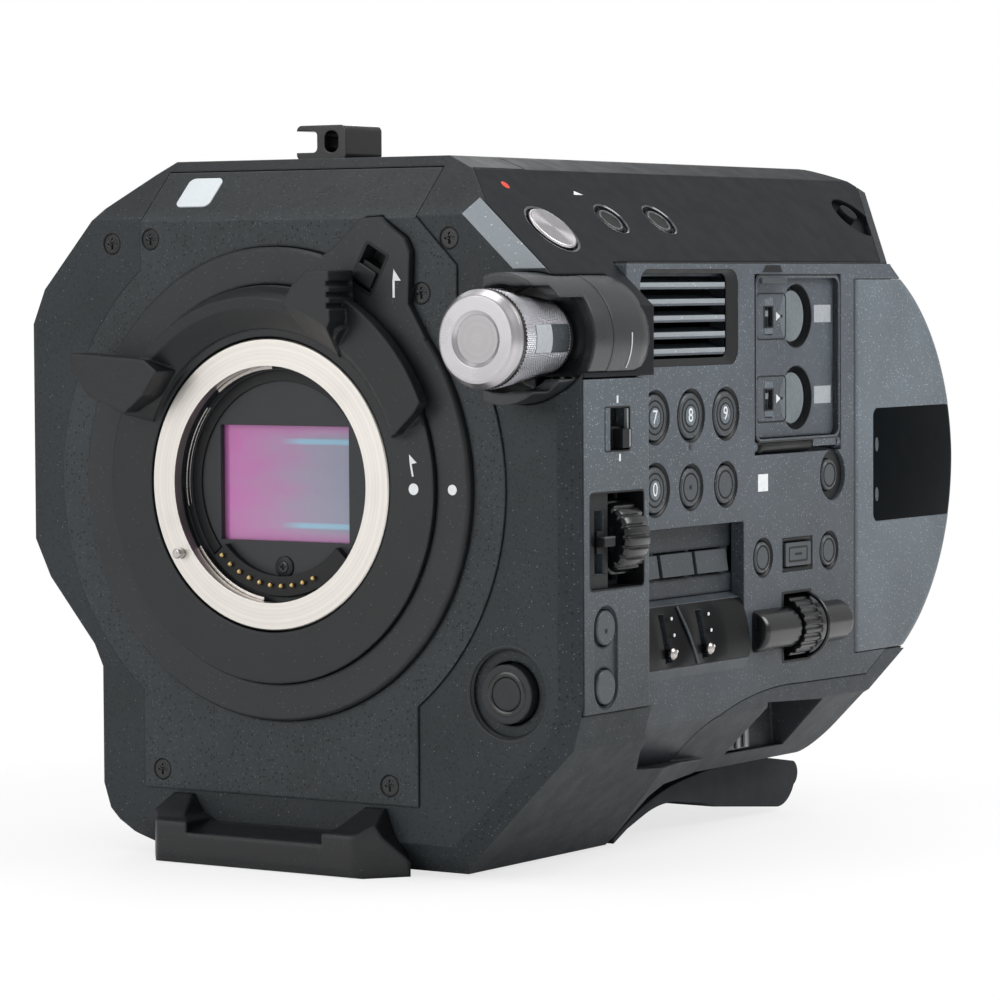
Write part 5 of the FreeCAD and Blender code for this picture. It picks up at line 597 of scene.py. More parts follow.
for look, names in NODE_LOOKS.items():
    for node_name in names:
        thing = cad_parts[node_name]
        thing.data.materials.clear()
        thing.data.materials.append(look)


# Marks on the mount

# How deep printing is let in, and how far it stands proud
INK = (-0.02, 0.03)
FRONT_INK = (-0.02, 0.04)
LOCK_MARK = on_front(34.2, -0.1, RING_Y)


def arrow_outline(tail, head, width, barb):
    """A straight line with a one-sided point."""
    du, dv = head[0] - tail[0], head[1] - tail[1]
    far = math.hypot(du, dv)
    ux, uz = du / far, dv / far
    px, pz = uz, -ux
    half = width / 2
    return [
        (tail[0] - px * half, tail[1] - pz * half),
        (tail[0] + px * half, tail[1] + pz * half),
        (head[0] - ux * barb + px * half, head[1] - uz * barb + pz * half),
        (head[0] - ux * barb + px * barb * 0.75, head[1] - uz * barb + pz * barb * 0.75),
        (head[0], head[1]),
        (head[0] - ux * barb - px * half, head[1] - uz * barb - pz * half),
    ]


Form().disc(LOCK_MARK, 1.1, *FRONT_INK).made("lock_ring_dot", WHITE, "lens_lock_ring")
Form().disc(on_front(42.4, -0.1, HOUSING_Y), 1.0, *FRONT_INK).made("housing_dot", WHITE)
Form().prism(LOCK_MARK, arrow_outline((-0.14, 2.4), (-1.0, 6.6), 0.4, 1.9), *FRONT_INK).made(
    "lock_arrow", WHITE, "lens_lock_ring")
Form().prism(on_front(0, 0, HOUSING_Y), arrow_outline((29.2, 36.2), (29.2, 41.6), 0.5, 2.2), *FRONT_INK).made(
    "release_arrow", WHITE)

# The release slider moves out along a line turned up from +X
RELEASE = on_front(0, 0, HOUSING_Y, 60.7)
Form().ring(RELEASE, rounded(43.3, -3.1, 52.5, 3.1, 0.8), rounded(43.9, -2.5, 51.9, 2.5, 0.3),
            -0.4, 0.03).made("release_frame", BLACK)
for n in range(4):
    u = 44.9 + 0.9 * n
    Form().box(RELEASE, u, -2.1, u + 0.4, 2.1, 0.3, 0.58, 0.08).made(
        "release_rib_%d" % n, KEY, "release_slider")


# Springs, wire and contacts inside the throat

CLAW_ANGLES = ((92.0, 128.0), (214.0, 262.0), (330.0, 368.0))
WIRE_R = 22.75
WIRE_ANGLES = range(140, 193, 2)
PIN_R = 19.9
PIN_ANGLES = [226 + 7.6 * n for n in range(10)]
LUG_Z = -16.3


def arc_piece(r0, r1, y0, y1, a0, a1, steps=40):
    """Part of a ring about the optical axis; the angles run from +X towards +Z."""
    return Form().lathe(on_front(0, 0, 0.0), [(r0, -y0), (r1, -y0), (r1, -y1), (r0, -y1)], steps, a0, a1)


def cross_screw(name, place, radius, material):
    """A pan head with a cross recess."""
    form = Form()
    arm, half = radius * 0.52, radius * 0.13
    cross = [(half, -arm), (half, -half), (arm, -half), (arm, half), (half, half), (half, arm), (-half, arm),
             (-half, half), (-arm, half), (-arm, -half), (-half, -half), (-half, -arm)]
    low, rim, top, floor = [
        form.row(place, [(u * k, v * k, radius * w) for u, v in outline])
        for outline, k, w in ((round_outline(radius, 48), 1.0, 0.0), (round_outline(radius, 48), 0.86, 0.28),
                              (cross, 1.0, 0.34), (cross, 0.8, -0.01))]
    form.band(low, rim)
    form.band(top, floor)
    form.bm.faces.new(floor)
    edges = [form.bm.edges.get(pair) for loop in (rim, top) for pair in zip(loop, loop[1:] + loop[:1])]
    bmesh.ops.triangle_fill(form.bm, edges=edges, use_beauty=True)
    form.made(name, material, angle=30.0)


for n, (a0, a1) in enumerate(CLAW_ANGLES):
    arc_piece(22.4, 23.3, 2.5, 3.1, a0, a1).made("claw_spring_%d" % n, STEEL, soft=0.08)
tube("throat_wire", arc_points((0, 0), WIRE_R, 3.6, WIRE_ANGLES)
     + arc_points((0, 0), WIRE_R, 4.6, reversed(WIRE_ANGLES)), 0.16, STEEL)
arc_piece(20.0, 22.2, 4.7, 5.25, -40.0, 220.0, 90).made("baffle_step", BLACK, soft=0.1)
for n, angle in enumerate(PIN_ANGLES):
    Form().lathe(on_front(*polar(PIN_R, angle)),
                 [(0.0, -0.4), (0.52, -0.4), (0.5, 0.1), (0.3, 0.32), (0.0, 0.38)], 20).made(
        "contact_pin_%d" % n, GOLD)
Form().lathe(on_front(0, LUG_Z, 5.2), [(0.0, -0.2), (2.2, -0.2), (2.1, 0.3), (1.7, 0.45), (0.0, 0.45)],
             32).made("contact_lug", BLACK)
cross_screw("contact_screw", on_front(0, LUG_Z, 4.9), 1.25, SCREW)

# Wells of the front screws, near-black as painted shade in the countersinks, with a painted highlight on two
# arms of each cross
SCREWS = ((-40.6, 47.0, FACE_Y), (40.6, 47.4, FACE_Y), (-30.6, 47.8, PLATE_Y), (34.4, 37.0, PLATE_Y),
          (-28.7, -57.4, PLATE_Y), (26.4, -57.4, PLATE_Y))
for n, (x, z, y) in enumerate(SCREWS):
    Form().lathe(on_front(x, z, y), [(1.62, -0.3), (2.2, -0.3), (2.2, 0.015), (2.0, 0.02), (1.86, -0.14),
                                     (1.62, -0.14)], 40).made("screw_well_%d" % n, SADDLE)
    # Light bars on two arms of the cross: a painted highlight.
    for end, turn in (("a", 45.0), ("b", 135.0)):
        Form().box(on_front(x, z, y, turn), 0.25, 0.25, 1.15, 0.42, -0.2, 0.02).made(
            "screw_painted_highlight_%d%s" % (n, end), KEY)


# Filter dial

# The barrel's taper, as (y, radius) at its front and its rear
BARREL = ((-12.0, 9.2), (8.2, 7.0))
DIAL_FRONT = on_front(*DIAL, DIAL_Y)


def barrel_radius(y):
    (y0, r0), (y1, r1) = BARREL
    return r0 + (r1 - r0) * (y - y0) / (y1 - y0)


def knurled_barrel(y0=-11.0, y1=6.6, columns=156, rows=50):
    """A coat of small crosswise pyramids over the dial's barrel."""
    form = Form()
    grid = []
    for r in range(rows + 1):
        y = y0 + (y1 - y0) * r / rows
        row = []
        for c in range(columns):
            far = barrel_radius(y) + (0.34 if (c + r) % 2 else 0.04)
            row.append(form.bm.verts.new(arc_points(DIAL, far, y, [360 * c / columns])[0]))
        grid.append(row)
    for r in range(rows):
        for c in range(columns):
            d = (c + 1) % columns
            p, q, s, u = grid[r][c], grid[r][d], grid[r + 1][d], grid[r + 1][c]
            halves = ((p, q, u), (q, s, u)) if (c + r) % 2 else ((p, q, s), (p, s, u))
            for half in halves:
                form.bm.faces.new(half)
    return form


def dial_patch(name, y0, y1, material, half_z=2.6, lift=0.32, columns=9):
    """A flat on the dial's side."""
    form = Form()
    place = placed((0, 1, 0), (0, 0, 1), (1, 0, 0), (DIAL[0], 0, DIAL[1]))
    walls = []
    for far in (-0.2, lift):
        wall = []
        for i in range(columns):
            v = -half_z + 2 * half_z * i / (columns - 1)
            wall.append([place @ Vector((y, v, math.sqrt((barrel_radius(y) + far) ** 2 - v * v)))
                         for y in (y0, y1)])
        walls.append(wall)
    form.sheet(walls[1])
    form.sheet([[p for p, q in wall] + [q for p, q in reversed(wall)] for wall in walls], closed=True)
    form.made(name, material, "nd_dial", angle=60.0)


knurled_barrel().made("dial_grip", DIAL_KNURL, "nd_dial", smooth=False)
Form().lathe(DIAL_FRONT, [(0.0, -0.2), (4.5, -0.2), (4.5, 0.04), (0.0, 0.04)], 96).made(
    "dial_centre", DIAL_FACE, "nd_dial", angle=15.0)
Form().lathe(DIAL_FRONT, [(4.5, -0.1), (4.5, 0.06), (5.3, 0.62), (7.9, 0.62), (8.2, 0.46), (9.2, -0.9),
                          (9.2, -1.4), (7.0, -0.4)], 120).made("dial_rim", DIAL_RIM_HIGHLIT, "nd_dial", angle=15.0)
Form().lathe(on_front(*DIAL, 0.0), [(9.28, 11.9), (9.28, 11.2), (8.9, 11.2), (8.9, 11.9)], 72).made(
    "dial_band", GLOSS, "nd_dial")
dial_patch("dial_mark", -7.2, -0.9, GREY_PRINT)
dial_patch("dial_label", -0.7, 6.2, KEY)
tube("cap_line", arc_points(DIAL, 12.4, 20.4, range(-28, 6, 2)), 0.14, WHITE)
Form().lathe(on_front(*DIAL), [(0.0, -29.6), (4.6, -29.4), (7.6, -28.7), (9.8, -27.4), (11.3, -25.6),
                               (12.1, -23.4), (12.36, -21.0), (12.36, -10.9), (11.0, -10.9)],
             120, -96.0, 84.0).made("cowl_tail", COWL, angle=50.0)


# Shoulder: light stripe, record dot, buttons

# The chamfer between the front and the shoulder: how far it runs back, and down
CHAMFER = (2.6, 4.2)


def chamfer_point(s, t, lift):
    """A point on the chamfer, s along the shoulder and t from its front edge to its rear edge."""
    n = SLOPE_N
    back, down = CHAMFER
    x = SLOPE_TOP[0] + n.z * s - n.x * down * (1 - t)
    z = SLOPE_TOP[1] - n.x * s - n.z * down * (1 - t)
    out = Vector((n.x * back, -down, n.z * back)).normalized()
    return Vector((x, FACE_Y + back * t, z)) + out * lift


def stripe():
    outline = ((8.7, 0.04), (24.2, 0.04), (28.4, 0.97), (8.5, 0.97))
    form = Form()
    low, high = [form.row(Matrix(), [chamfer_point(s, t, lift) for s, t in outline]) for lift in (-0.2, 0.12)]
    form.bm.faces.new(high)
    form.bm.faces.new(low)
    form.band(low, high)
    return form


stripe().made("corner_stripe", STRIPE, soft=0.06)
Form().disc(on_slope(43.3, 18.3), 1.0, *INK).made("record_dot", RED)
Form().lathe(on_slope(*REC), [(5.6, -0.66), (6.05, -0.66), (6.05, -0.1), (6.5, 0.08), (6.62, -0.1),
                              (6.62, -0.7)], 72).made("record_rim", SHINE)
Form().lathe(on_slope(*REC), [(5.55, -0.66), (6.02, -0.66), (6.02, -0.6), (5.55, -0.6)], 72).made(
    "record_gap", SADDLE)
for name, body in (("hold", "hold_button"), ("auto", "full_auto_button")):
    place = on_slope(50.2, spot(body)[0])
    Form().lathe(place, [(3.7, -0.86), (4.02, -0.86), (4.02, -0.1), (4.32, 0.08), (4.42, -0.1),
                         (4.42, -0.8)], 56).made(name + "_rim", SHINE)
    Form().lathe(place, [(2.3, -0.5), (3.0, -0.5), (2.8, -0.12), (2.45, -0.16)], 48).made(
        name + "_ridge", SHINE, body)
Form().prism(on_slope(44.9, 41.6), [(-1.6, -0.2), (1.8, -0.2), (-0.4, 0.9)], *INK).made("hold_mark", WHITE)


# Printing and small details of the control side

# Round buttons of the panel: short name, node, radius, radius of the sunk line
BUTTONS = (("seven", "button_seven", 4.5, 3.1), ("eight", "button_eight", 4.5, 3.1),
           ("nine", "button_nine", 4.5, 3.1), ("zero", "button_zero", 4.5, 3.1),
           ("status", "status_button", 3.8, 2.55), ("display", "display_button", 3.8, 2.55),
           ("slot", "slot_select_button", 3.2, 2.2), ("cancel", "cancel_button", 3.2, 2.2),
           ("thumbnail", "thumbnail_button", 3.2, 2.2))
DIGITS = {"button_seven": "7", "button_eight": "8", "button_nine": "9", "button_zero": "0"}
# The sound plate's face, and the heights of its two dials
SOUND_X = 61.15
LABEL_X = SOUND_X + 0.02
LEVELS = {name: spot("audio_dial_" + name)[1] for name in ("one", "two")}

for body, text in DIGITS.items():
    y, z = spot(body)
    place = on_side(y, z, BUTTON_X)
    Form().lathe(place, [(1.95, -0.1), (2.3, -0.1), (2.3, 0.04), (1.95, 0.04)], 48).made(
        body + "_ring", BLACK, body)
    Form().disc(place, 1.93, -0.1, 0.05).made(body + "_pip", DOOR, body)
    digit(body + "_digit", text, on_side(y, z, BUTTON_X + 0.05), 3.8, WHITE, body)
Form().disc(on_side(*spot("status_button"), BUTTON_X), 0.45, -0.1, 0.06).made(
    "status_dot", BLACK, "status_button")
Form().disc(on_side(13.4, -26.6, SIDE_X + 0.1), 0.45, -0.1, 0.06).made("iris_dot", BLACK, "iris_button")
for name, y, z in (("preset_tick", 17.8, 16.9), ("variable_tick", 18.6, 5.9)):
    Form().box(on_side(y, z, SIDE_X), -0.3, -0.7, 0.3, 0.7, *INK).made(name, WHITE)
Form().box(on_side(83.5, -1.8), -2.0, -1.75, 2.0, 1.75, *INK).made("touch_mark", WHITE)
for name, z in LEVELS.items():
    Form().box(on_side(110.6, z + 0.4, LABEL_X), -3.5, -1.8, 3.5, 1.8, *INK).made("label_" + name, GREY_PRINT)
    Form().prism(on_side(92.2, z, LABEL_X), [(-0.9, -0.9), (0.8, 0.0), (-0.9, 0.9)], *INK).made(
        "level_point_" + name, WHITE)

for name, body, r, groove in BUTTONS:
    y, z = spot(body)
    # Black rings in the wells round the buttons: painted shade in the wells.
    if name != "slot":
        Form().ring(on_side(y, z), round_outline(r + 0.88), round_outline(r + 0.34), -0.69, -0.1, -0.6).made(
            name + "_well", BLACK)
    face = on_side(y, z, BUTTON_X)
    Form().ring(face, round_outline(groove + 0.34), round_outline(groove), -0.1, 0.03).made(
        name + "_groove", SADDLE, body)
    Form().ring(face, round_outline(r - 0.28), round_outline(r - 0.5), -0.1, 0.05).made(
        name + "_edge", SHINE, body)
# The slot button's well is black too: painted shade.
Form().ring(on_side(112.6, -1.3), round_outline(5.35), round_outline(3.4, u=-1.2), -1.19, -0.9, -1.1).made(
    "slot_well", BLACK)
Form().lathe(on_front(53.4, -38.4), [(8.2, -1.2), (9.2, -0.5), (9.2, 0.02), (8.95, 0.03), (8.2, -0.7)],
             72).made("balance_rim", THROAT)
Form().lathe(on_front(53.4, -38.4, 2.5), [(3.2, -0.2), (3.3, 0.02), (3.6, 0.16), (4.0, 0.16), (4.3, 0.02),
                                          (4.3, -0.2)], 56).made("balance_ridge", GLOSS, "wb_set_button")
Form().lathe(on_side(55.2, 6.6), [(0.0, -0.1), (0.8, -0.1), (0.6, 0.22), (0.0, 0.35)], 20).made(
    "eight_bump", KEY)

# Menu button
MENU = spot("menu_button")
MENU_TOP = on_side(*MENU, limit("menu_button", HIGH, "X"))
Form().ring(on_side(*MENU), rounded(-6.2, -3.4, 6.2, 3.4, 0.8), rounded(-5.45, -2.65, 5.45, 2.65, 0.4),
            -0.49, -0.1, -0.4).made("menu_frame", BLACK)
Form().ring(MENU_TOP, rounded(-3.9, -1.6, 3.9, 1.6, 0.4), rounded(-3.5, -1.2, 3.5, 1.2, 0.2),
            -0.1, 0.04).made("menu_line", BLACK, "menu_button")
Form().box(MENU_TOP, -1.3, -0.25, 1.6, 0.25, -0.1, 0.05).made("menu_dash", BLACK, "menu_button")

# Louvres: a sunk rim, and a light strip on each slat as a painted highlight
PANEL = on_side(0, 0)
SLAT_STEP = 3.24
Form().ring(PANEL, rounded(36.2, 22.4, 73.6, 41.4, 3.0), rounded(36.8, 23.9, 69.9, 40.5, 1.8),
            -0.75, -0.03, -0.66).made("vent_rim", BLACK)
for n in range(5):
    z = 24.95 + SLAT_STEP * n
    Form().box(PANEL, 37.0, z, 69.6, z + 0.9, -0.85, -0.72).made("louvre_painted_highlight_%d" % n, STRIPE)


def pierced(place, outer, holes, high, deep):
    """A plate with holes and the walls down into them."""
    form = Form()
    edges = []
    for outline in [outer] + holes:
        top, low = [form.row(place, [(u, v, w) for u, v in outline]) for w in (high, high - deep)]
        form.band(low, top)
        edges += [form.bm.edges.get(pair) for pair in zip(top, top[1:] + top[:1])]
    bmesh.ops.triangle_fill(form.bm, edges=edges, use_beauty=True)
    return form


# Sound controls under the clear door
PLATE_DEEP = 1.05
WELL_Y = 99.6
WELL_R = 6.6
WELL_BED_X = 57.9
pierced(on_side(0, 0, SOUND_X - PLATE_DEEP), rounded(81.0, 7.2, 115.2, 39.9, 1.6),
        [round_outline(WELL_R, 56, WELL_Y, z) for z in LEVELS.values()]
        + [rounded(86.5, z - 3.8, 89.9, z + 3.6, 0.2) for z in LEVELS.values()], PLATE_DEEP, PLATE_DEEP).made(
    "sound_plate", SIDE)
for name, z in LEVELS.items():
    # The wells' floor and walls are black: painted shade inside the deep wells.
    Form().lathe(on_side(WELL_Y, z, WELL_BED_X),
                 [(2.9, 0.02), (6.62, 0.02), (6.62, 3.2), (6.5, 3.2), (6.5, 0.14), (2.9, 0.14)],
                 56).made("dial_well_" + name, BLACK)
    place = on_side(88.2, z, LABEL_X)
    Form().ring(place, rounded(-4.9, -4.8, 7.2, 4.8, 1.2), rounded(-4.6, -4.5, 6.9, 4.5, 1.0),
                -0.05, 0.04).made("switch_frame_" + name, BLACK)
    Form().ring(place, rounded(-2.0, -2.4, 2.0, 2.2, 0.3), rounded(-1.45, -2.1, 1.45, 1.9, 0.2),
                -0.9, 0.05).made("switch_slot_" + name, BLACK)
    for end, v0, v1 in (("low", -3.6, -2.2), ("high", 2.1, 3.6)):
        Form().box(place, -1.7, v0, 1.7, v1, -0.3, 0.02).made("switch_%s_%s" % (end, name), DOOR)
DOOR_EDGE = rounded(80.8, 6.6, 115.6, 40.0, 2.0)
Form().ring(PANEL, DOOR_EDGE, rounded(81.2, 7.0, 115.2, 39.6, 1.7), -0.3, 0.02).made(
    "sound_border", SIDE, "audio_door")
Form().ring(PANEL, rounded(80.45, 6.3, 115.95, 40.35, 2.3), DOOR_EDGE, -0.5, -0.02).made(
    "sound_line", GLOSS, "audio_door")
Form().lathe(along_side(61.0, 5.5), [(0.0, 80.9), (0.9, 81.1), (1.6, 81.9), (1.75, 82.9), (1.5, 83.9),
                                     (1.5, 103.6), (1.2, 104.2), (0.0, 104.2)], 40).made(
    "hinge_bar", SADDLE, "audio_door")
Form().box(PANEL, 104.4, 4.9, 114.0, 6.6, -0.4, -0.05).made("hinge_filler", SIDE, "audio_door")
# A black plate on the panel over the latch notch: a painted shadow.
Form().prism(PANEL, [(83.4, 40.75), (91.6, 40.75), (90.6, 42.2), (84.8, 42.2)], -0.1, 0.03).made(
    "latch_painted_shadow", BLACK)
Form().box(PANEL, 82.0, 38.5, 92.6, 39.7, 0.3, 0.75, 0.15).made("latch_bar", KEY, "audio_door", soft=0.1)

# Key tray: dark back and strip
TRAY = on_side(0, 0, 58.3)
TRAY_Y = (33.1, 75.7)
Form().box(TRAY, TRAY_Y[0], -14.2, TRAY_Y[1], -9.3, 0.5, 0.72).made("tray_back", SKIRT)
Form().box(TRAY, TRAY_Y[0], -23.2, TRAY_Y[1], -19.6, 0.9, 1.15).made("tray_strip", SKIRT)

# Ledge with the two levers: its top and foot, its slots, and the middles of its hollows
LEDGE_TOP, LEDGE_FOOT = -24.5, -36.3
LEDGE_Y = (33.2, 75.6)
LEVER_SLOTS = ((43.1, 46.1), (57.3, 60.3))
SLOT_Z = (-35.4, -26.0)
HOLLOWS_Y = (46.6, 60.2)
HOLLOW_HALF, HOLLOW_DEEP = 6.8, 0.55
# Where the ledge starts at its top, and how far it leans out by its foot
LEDGE_X, LEDGE_LEAN = 61.42, 2.36


def saddles(step=0.47, rows=26):
    """The black ledge with two hollows, open over the lever slots."""
    form = Form()
    count = int((LEDGE_Y[1] - LEDGE_Y[0]) / step)
    ys = [LEDGE_Y[0] + step * i for i in range(count)] + [LEDGE_Y[1]]
    ys = sorted(ys + [y for slot in LEVER_SLOTS for y in slot])
    cells = {}

    def corner(i, r):
        if (i, r) not in cells:
            t = r / rows
            near = min(abs(ys[i] - middle) for middle in HOLLOWS_Y)
            wave = 1 - math.cos(math.pi * min(near / HOLLOW_HALF, 1.0))
            rise = HOLLOW_DEEP * wave * math.sin(math.pi * t) ** 0.6
            z = LEDGE_TOP + (LEDGE_FOOT - LEDGE_TOP) * t
            cells[(i, r)] = form.bm.verts.new((LEDGE_X + LEDGE_LEAN * t + rise, ys[i], z))
        return cells[(i, r)]

    for i in range(len(ys) - 1):
        middle = (ys[i] + ys[i + 1]) / 2
        over = any(low < middle < high for low, high in LEVER_SLOTS)
        for r in range(rows):
            z = LEDGE_TOP + (LEDGE_FOOT - LEDGE_TOP) * (r + 0.5) / rows
            if not (over and SLOT_Z[0] < z < SLOT_Z[1]):
                form.bm.faces.new((corner(i, r), corner(i + 1, r), corner(i + 1, r + 1), corner(i, r + 1)))
    return form


def ridge_point(s):
    """A point on the slanting ridge between the two hollows."""
    return 61.75 + 2.3 * s + 1.0 * math.sin(math.pi * s), 50.6 + 1.2 * s + 3.2 * s * s, -24.7 - 11.4 * s


saddles().made("saddles", SADDLE, angle=60.0)
Form().prism(across_side(LEDGE_Y[1]), [(61.5, -39.0), (62.4, -38.9), (63.8, -36.5), (62.9, -36.3)],
             0.0, LEDGE_Y[1] - LEDGE_Y[0]).made("ledge_lip", KEY)
tube("saddle_ridge", [ridge_point(i / 16) for i in range(17)], 0.3, KEY)
for name in ("gain", "balance"):
    y = spot(name + "_switch")[0]
    Form().lathe(on_side(y, -33.5, 64.7), [(0.0, -0.4), (1.15, -0.4), (1.15, 0.1), (0.8, 0.45), (0.0, 0.55)],
                 24).made(name + "_tip", STEEL, name + "_switch")
    for n in range(3):
        Form().disc(on_side(y + 2.9, -26.9 - 3.2 * n, 62.55 + 0.64 * n), 0.34, -0.1, 0.05, steps=16).made(
            "%s_dot_%d" % (name, n), WHITE)

# Guards of the select wheel, the arc over it and its slot
WHEEL_Z = -31.8
for name, y0, y1, step in (("front", 79.0, 93.0, 1), ("rear", 115.6, 101.6, -1)):
    Form().lathe(along_side(61.9, WHEEL_Z),
                 [(0.0, y0), (3.35, y0), (4.0, y0 + step * 0.25), (4.34, y0 + step * 0.8),
                  (4.36, y0 + step * 1.3), (4.36, y1), (0.0, y1)], 48).made("guard_" + name, GLOSS)
tube("wheel_arc", arc_points((60.7, WHEEL_Z), 6.75, 102.0, range(-86, 87, 6)), 0.42, GLOSS)
Form().ring(PANEL, rounded(91.1, -39.1, 103.5, -24.5, 0.5), rounded(91.9, -38.6, 102.7, -25.0, 0.3), -2.9,
            0.04).made("select_slot", BLACK)

# Catch of the pad in the skirt's window
Form().box(on_side(0, 0, 49.5), 85.6, -57.6, 96.4, -50.0, -0.2, 2.4).made("pad_catch", GLOSS, soft=0.4)
for n, y in enumerate((90.4, 93.5)):
    Form().box(on_side(0, 0, 51.9), y, -57.2, y + 1.2, -50.8, -0.1, 0.5, 0.1).made(
        "pad_catch_bar_%d" % n, KNOB, soft=0.15)

# Seam in front of the card door
DOOR_HALF_Z = limit("media_door", HIGH, "Z")
Form().box(PANEL, 121.75, -DOOR_HALF_Z - 0.2, 122.45, DOOR_HALF_Z + 0.2, -0.2, 0.015).made("door_line", SKIRT)


# Iris wheel, selector and preset switch on the front side cover

COVER_FACE = on_side(0, 0, SIDE_X)
IRIS_AXIS = along_side(63.9, -9.6)


def ribbed_wheel(place, radius, y0, y1, ribs, deep, share, steps=10):
    """A thumb wheel with flat ribs, rounded towards its sides."""
    outline = []
    for n in range(ribs):
        for k in range(steps):
            t = abs(k / steps - 0.5) * 2
            dip = 0.0 if t < share else deep * min((t - share) / (1 - share) * 1.6, 1.0)
            outline.append((360 * (n + k / steps) / ribs, radius - dip))
    form = Form()
    rows = []
    for v, inset in ((y0, radius * 0.55), (y0, 0.9), (y0 + 0.45, 0.25), (y0 + 1.0, 0.0), (y1 - 1.0, 0.0),
                     (y1 - 0.45, 0.25), (y1, 0.9), (y1, radius * 0.55)):
        rows.append(form.row(place, [(*polar(r - inset, a), v) for a, r in outline]))
    for low, high in zip(rows, rows[1:]):
        form.band(low, high)
    form.bm.faces.new(rows[0])
    form.bm.faces.new(rows[-1])
    return form


wheel = ribbed_wheel(IRIS_AXIS, 7.3, 17.9, 26.4, 21, 0.55, 0.62).made(
    "iris_grip", GLOSS, "iris_wheel", angle=28.0)
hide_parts("iris_wheel")
Form().lathe(IRIS_AXIS, [(0.0, 16.6), (2.2, 16.6), (2.2, 18.0), (0.0, 18.0)], 24).made(
    "iris_hub", GLOSS, "iris_wheel")
knob = Form().box(on_side(13.2, -9.9, SIDE_X), -2.1, -0.9, 2.3, 1.1, -0.8, 1.1, 0.3).made(
    "selector_knob", BLACK, "iris_selector", soft=0.2)
Form().box(on_side(12.9, -9.9, SIDE_X), -1.2, -2.1, 1.2, 2.1, -5.8, -0.85).made(
    "selector_stem", BLACK, "iris_selector")
# A light strip along the knob's top edge: a painted highlight.
Form().box(on_side(13.2, -8.95, SIDE_X), -1.9, -0.15, 2.1, 0.2, 0.2, 1.13, 0.1).made(
    "selector_painted_highlight", KEY, "iris_selector", soft=0.08)
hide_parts("iris_selector")
Form().prism(across_side(15.2), [(61.9, -18.2), (64.2, -18.0), (66.0, -15.6), (66.7, -12.6), (66.9, -9.7),
                                 (66.7, -6.6), (65.8, -3.4), (64.0, -1.3), (61.9, -1.0)], 0.0, 0.55).made(
    "thumb_cheek", GLOSS)
# Two light bars, on the knob and on the right wall of its recess: painted highlights.
Form().box(on_side(20.7, 9.5, SIDE_X), -0.28, -1.7, 0.28, 1.7, 0.7, 1.05, 0.12).made(
    "preset_painted_highlight", KNOB, "preset_switch", soft=0.12)
Form().box(on_side(21.7, 11.3, SIDE_X), -0.25, -3.6, 0.25, 3.9, -0.9, -0.1, 0.1).made(
    "preset_wall_highlight", KNOB, soft=0.1)

# Wells of the front side cover
Form().ring(COVER_FACE, rounded(7.82, -18.98, 27.38, -0.42, 0.9), rounded(8.1, -18.7, 27.1, -0.7, 0.8), -5.9,
            0.02).made("thumb_well", BLACK)
for name, y0, z0, y1, z1 in (("top", 8.1, -3.8, 15.9, -0.7), ("low", 8.1, -18.7, 15.9, -16.0),
                             ("fore", 8.1, -16.0, 11.2, -3.8), ("aft", 14.6, -16.0, 15.9, -3.8)):
    Form().box(COVER_FACE, y0, z0, y1, z1, -1.3, -1.12).made("thumb_bed_" + name, BLACK)
Form().ring(COVER_FACE, rounded(13.2, 7.0, 22.4, 15.6, 0.4), rounded(13.5, 7.3, 22.1, 15.3, 0.3), -0.9,
            0.02).made("preset_frame", BLACK)
for name, z in (("iris", -26.0), ("push", -37.2)):
    Form().ring(on_side(13.4, z, SIDE_X - 0.6), round_outline(3.95), round_outline(3.62), -0.2, 0.03).made(
        name + "_ring", BLACK)


# Card door: seals that close the narrow gaps beside it, and its window, let in round its rear edge

def circle_through(a, b, c):
    """Centre and radius of the circle through three points."""
    d = 2 * (a[0] * (b[1] - c[1]) + b[0] * (c[1] - a[1]) + c[0] * (a[1] - b[1]))
    sa, sb, sc = (p[0] ** 2 + p[1] ** 2 for p in (a, b, c))
    u = (sa * (b[1] - c[1]) + sb * (c[1] - a[1]) + sc * (a[1] - b[1])) / d
    v = (sa * (c[0] - b[0]) + sb * (a[0] - c[0]) + sc * (b[0] - a[0])) / d
    return u, v, math.hypot(a[0] - u, a[1] - v)


# The rear edge is two arcs, given by three (y, z) points each, that meet at the rearmost point
REARMOST = (168.6, 2.0)
UPPER_REAR = circle_through((139.2, 42.5), (159.4, 27.0), REARMOST)
LOWER_REAR = circle_through(REARMOST, (164.6, -18.6), (145.8, -40.0))
WINDOW_Y = 130.4
WINDOW_HALF_Z = 11.9


def rear_edge(z):
    """How far back the card door reaches at a height."""
    y, centre, radius = UPPER_REAR if z > REARMOST[1] else LOWER_REAR
    return y + math.sqrt(radius * radius - (z - centre) ** 2)


def seal(name, z0, z1, end):
    """A thin strip that follows the rear edge."""
    Form().prism(Matrix(),
                 [(51.0, 124.0), (62.0, 124.0), (62.0, end - 3.4), (61.3, end - 1.8), (60.0, end - 0.9),
                  (58.6, end - 0.45), (51.0, end - 0.4)], z0, z1).made(name, GLOSS)


def pane(columns=12, rows=24, turn=2.94):
    """The smoked window, flat on the side and turned in at the rear edge."""
    points = []
    for r in range(rows + 1):
        z = WINDOW_HALF_Z * (2 * r / rows - 1)
        edge = rear_edge(z) - 3.0
        row = [(PANEL_X - 0.48, WINDOW_Y, z), (PANEL_X - 0.12, WINDOW_Y, z),
               (PANEL_X - 0.06, WINDOW_Y + 0.3, z)]
        for k in range(columns - 3):
            a, b = polar(turn, 84.0 * k / (columns - 4))
            row.append((PANEL_X - 3.0 + a, edge + b, z))
        points.append(row)
    return Form().sheet(points)


